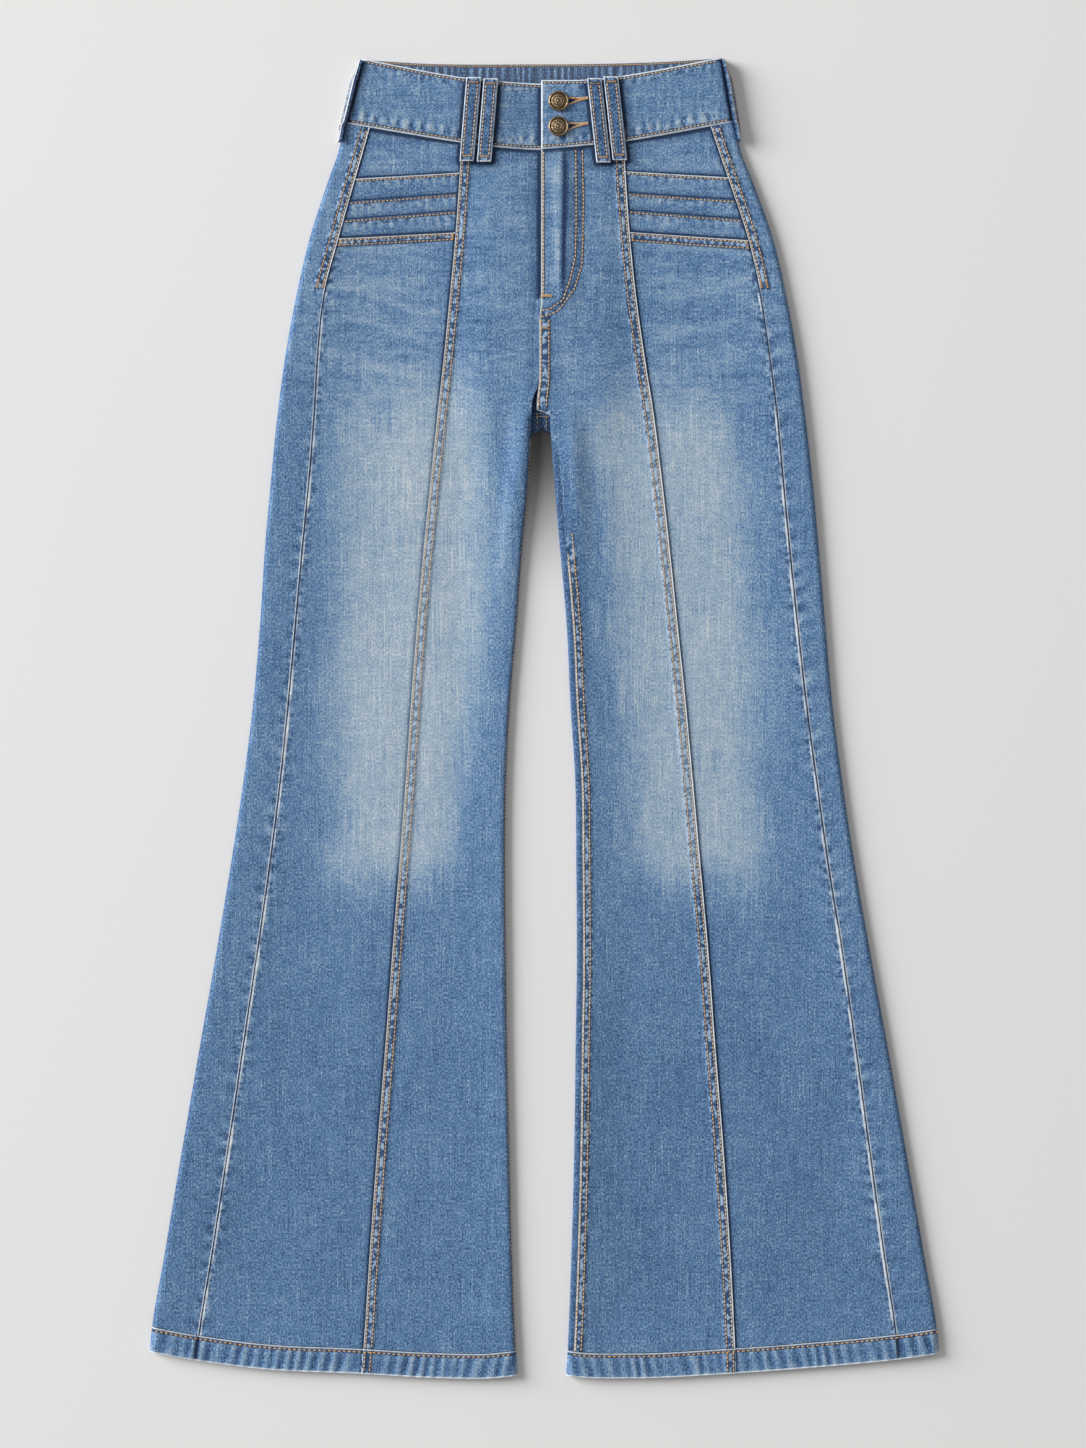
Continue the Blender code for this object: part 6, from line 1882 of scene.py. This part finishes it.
class JEANS_OT_hems(bpy.types.Operator):
    """Make the turned-up hems"""

    bl_idname = "jeans.hems"
    bl_label = "Hems"

    def execute(self, context):
        return made_on_both_sides(context, hem)


class JEANS_OT_waistband(bpy.types.Operator):
    """Make the waistband's two fronts and its back"""

    bl_idname = "jeans.waistband"
    bl_label = "Waistband"

    def execute(self, context):
        waistband_back(denim(context))
        return made_on_both_sides(context, waistband_front)


class JEANS_OT_belt_loops(bpy.types.Operator):
    """Make the four front loops and the two side loops"""

    bl_idname = "jeans.belt_loops"
    bl_label = "Belt loops"

    def execute(self, context):
        for loop in LOOPS:
            belt_loop(loop, denim(context))
        return made_on_both_sides(context, belt_loop_side)


class JEANS_OT_fastenings(bpy.types.Operator):
    """Make the shank buttons, the zip and the shield behind it"""

    bl_idname = "jeans.fastenings"
    bl_label = "Buttons and zip"

    def execute(self, context):
        looks = context.scene.jeans_cloth
        brass = finish_named("antique_brass", brass_finish, looks)
        for name, down in BUTTONS_DOWN.items():
            button(name, down, brass)
        fly_shield(denim(context))
        zip_tape(finish_named("zip_tape_weave", tape_finish, looks))
        zip_teeth(brass)
        for slot in bpy.data.objects["zip_slider"].material_slots:
            slot.material = brass
        return {"FINISHED"}


class JEANS_OT_stitching(bpy.types.Operator):
    """Sew the rows of topstitching, the bar tacks and the buttonholes"""

    bl_idname = "jeans.stitching"
    bl_label = "Stitching"

    def execute(self, context):
        finish = finish_named("topstitch_thread", thread_finish, context.scene.jeans_cloth)
        panels, upper, hems = Sewing(1), Sewing(2), Sewing(3)
        for side in SIDES:
            sew_front_seams(panels, side)
            sew_hips(upper, side)
            sew_waistband(upper, side)
            sew_hem(hems, side)
        sew_back_band(upper)
        sew_buttonholes(upper)
        sew_loops(upper)
        sew_seat(hems)
        panels.piece("panel_stitches", finish)
        upper.piece("waist_stitches", finish)
        hems.piece("hem_stitches", finish)
        return {"FINISHED"}


class JEANS_OT_stage(bpy.types.Operator):
    """Set the floor, the soft lights and the camera over the laid-out jeans"""

    bl_idname = "jeans.stage"
    bl_label = "Stage"

    def execute(self, context):
        settings = context.scene.jeans_stage
        reach, level = 30.0, -0.0002
        corners = [(x * reach, y * reach, level) for x, y in ((-1, -1), (1, -1), (1, 1), (-1, 1))]
        mesh = bpy.data.meshes.new("floor")
        mesh.from_pydata(corners, [], [range(4)])
        mesh.materials.append(floor_finish(settings))
        in_scene("floor", mesh)

        world = bpy.data.worlds.new("soft_sky")
        world.use_nodes = True
        sky = world.node_tree.nodes["Background"]
        sky.inputs["Color"].default_value = (1.0, 0.995, 0.985, 1.0)
        sky.inputs["Strength"].default_value = settings.sky
        context.scene.world = world

        lamp = bpy.data.lights.new("key_light", "AREA")
        lamp.shape, lamp.size, lamp.energy = "DISK", 8.6, settings.key_power
        key = in_scene("key_light", lamp)
        key.location = (-11.4, 4.6, 4.8)
        key.rotation_euler = (-key.location).to_track_quat("-Z", "Y").to_euler()

        eye = bpy.data.cameras.new("camera")
        eye.lens, eye.sensor_width, eye.clip_end = settings.lens, 36.0, 100.0
        camera = in_scene("camera", eye)
        camera.location = (settings.camera_x, settings.camera_y, settings.camera_height)
        context.scene.camera = camera
        context.scene.view_settings.view_transform = "Standard"
        return {"FINISHED"}


PIECES = (
    JEANS_OT_stage, JEANS_OT_legs, JEANS_OT_hips, JEANS_OT_hems, JEANS_OT_waistband, JEANS_OT_belt_loops,
    JEANS_OT_fastenings, JEANS_OT_stitching,
)


class JEANS_PT_panel(bpy.types.Panel):
    """Lists the pieces in the order in which they are made"""

    bl_idname = "JEANS_PT_panel"
    bl_label = "Wide Leg Jeans"
    bl_space_type = "VIEW_3D"
    bl_region_type = "UI"
    bl_category = "Jeans"

    def draw(self, context):
        for settings in (context.scene.jeans_cloth, context.scene.jeans_stage):
            box = self.layout.box()
            for name in settings.__annotations__:
                box.prop(settings, name)
        for operator in PIECES:
            self.layout.operator(operator.bl_idname)


CLASSES = (JeansCloth, JeansStage, *PIECES, JEANS_PT_panel)


def register():
    for cls in CLASSES:
        bpy.utils.register_class(cls)
    bpy.types.Scene.jeans_cloth = bpy.props.PointerProperty(type=JeansCloth)
    bpy.types.Scene.jeans_stage = bpy.props.PointerProperty(type=JeansStage)


def unregister():
    del bpy.types.Scene.jeans_stage, bpy.types.Scene.jeans_cloth
    for cls in reversed(CLASSES):
        bpy.utils.unregister_class(cls)


def main():
    register()
    for operator in PIECES:
        group, name = operator.bl_idname.split(".")
        getattr(getattr(bpy.ops, group), name)()


if __name__ == "__main__":
    main()
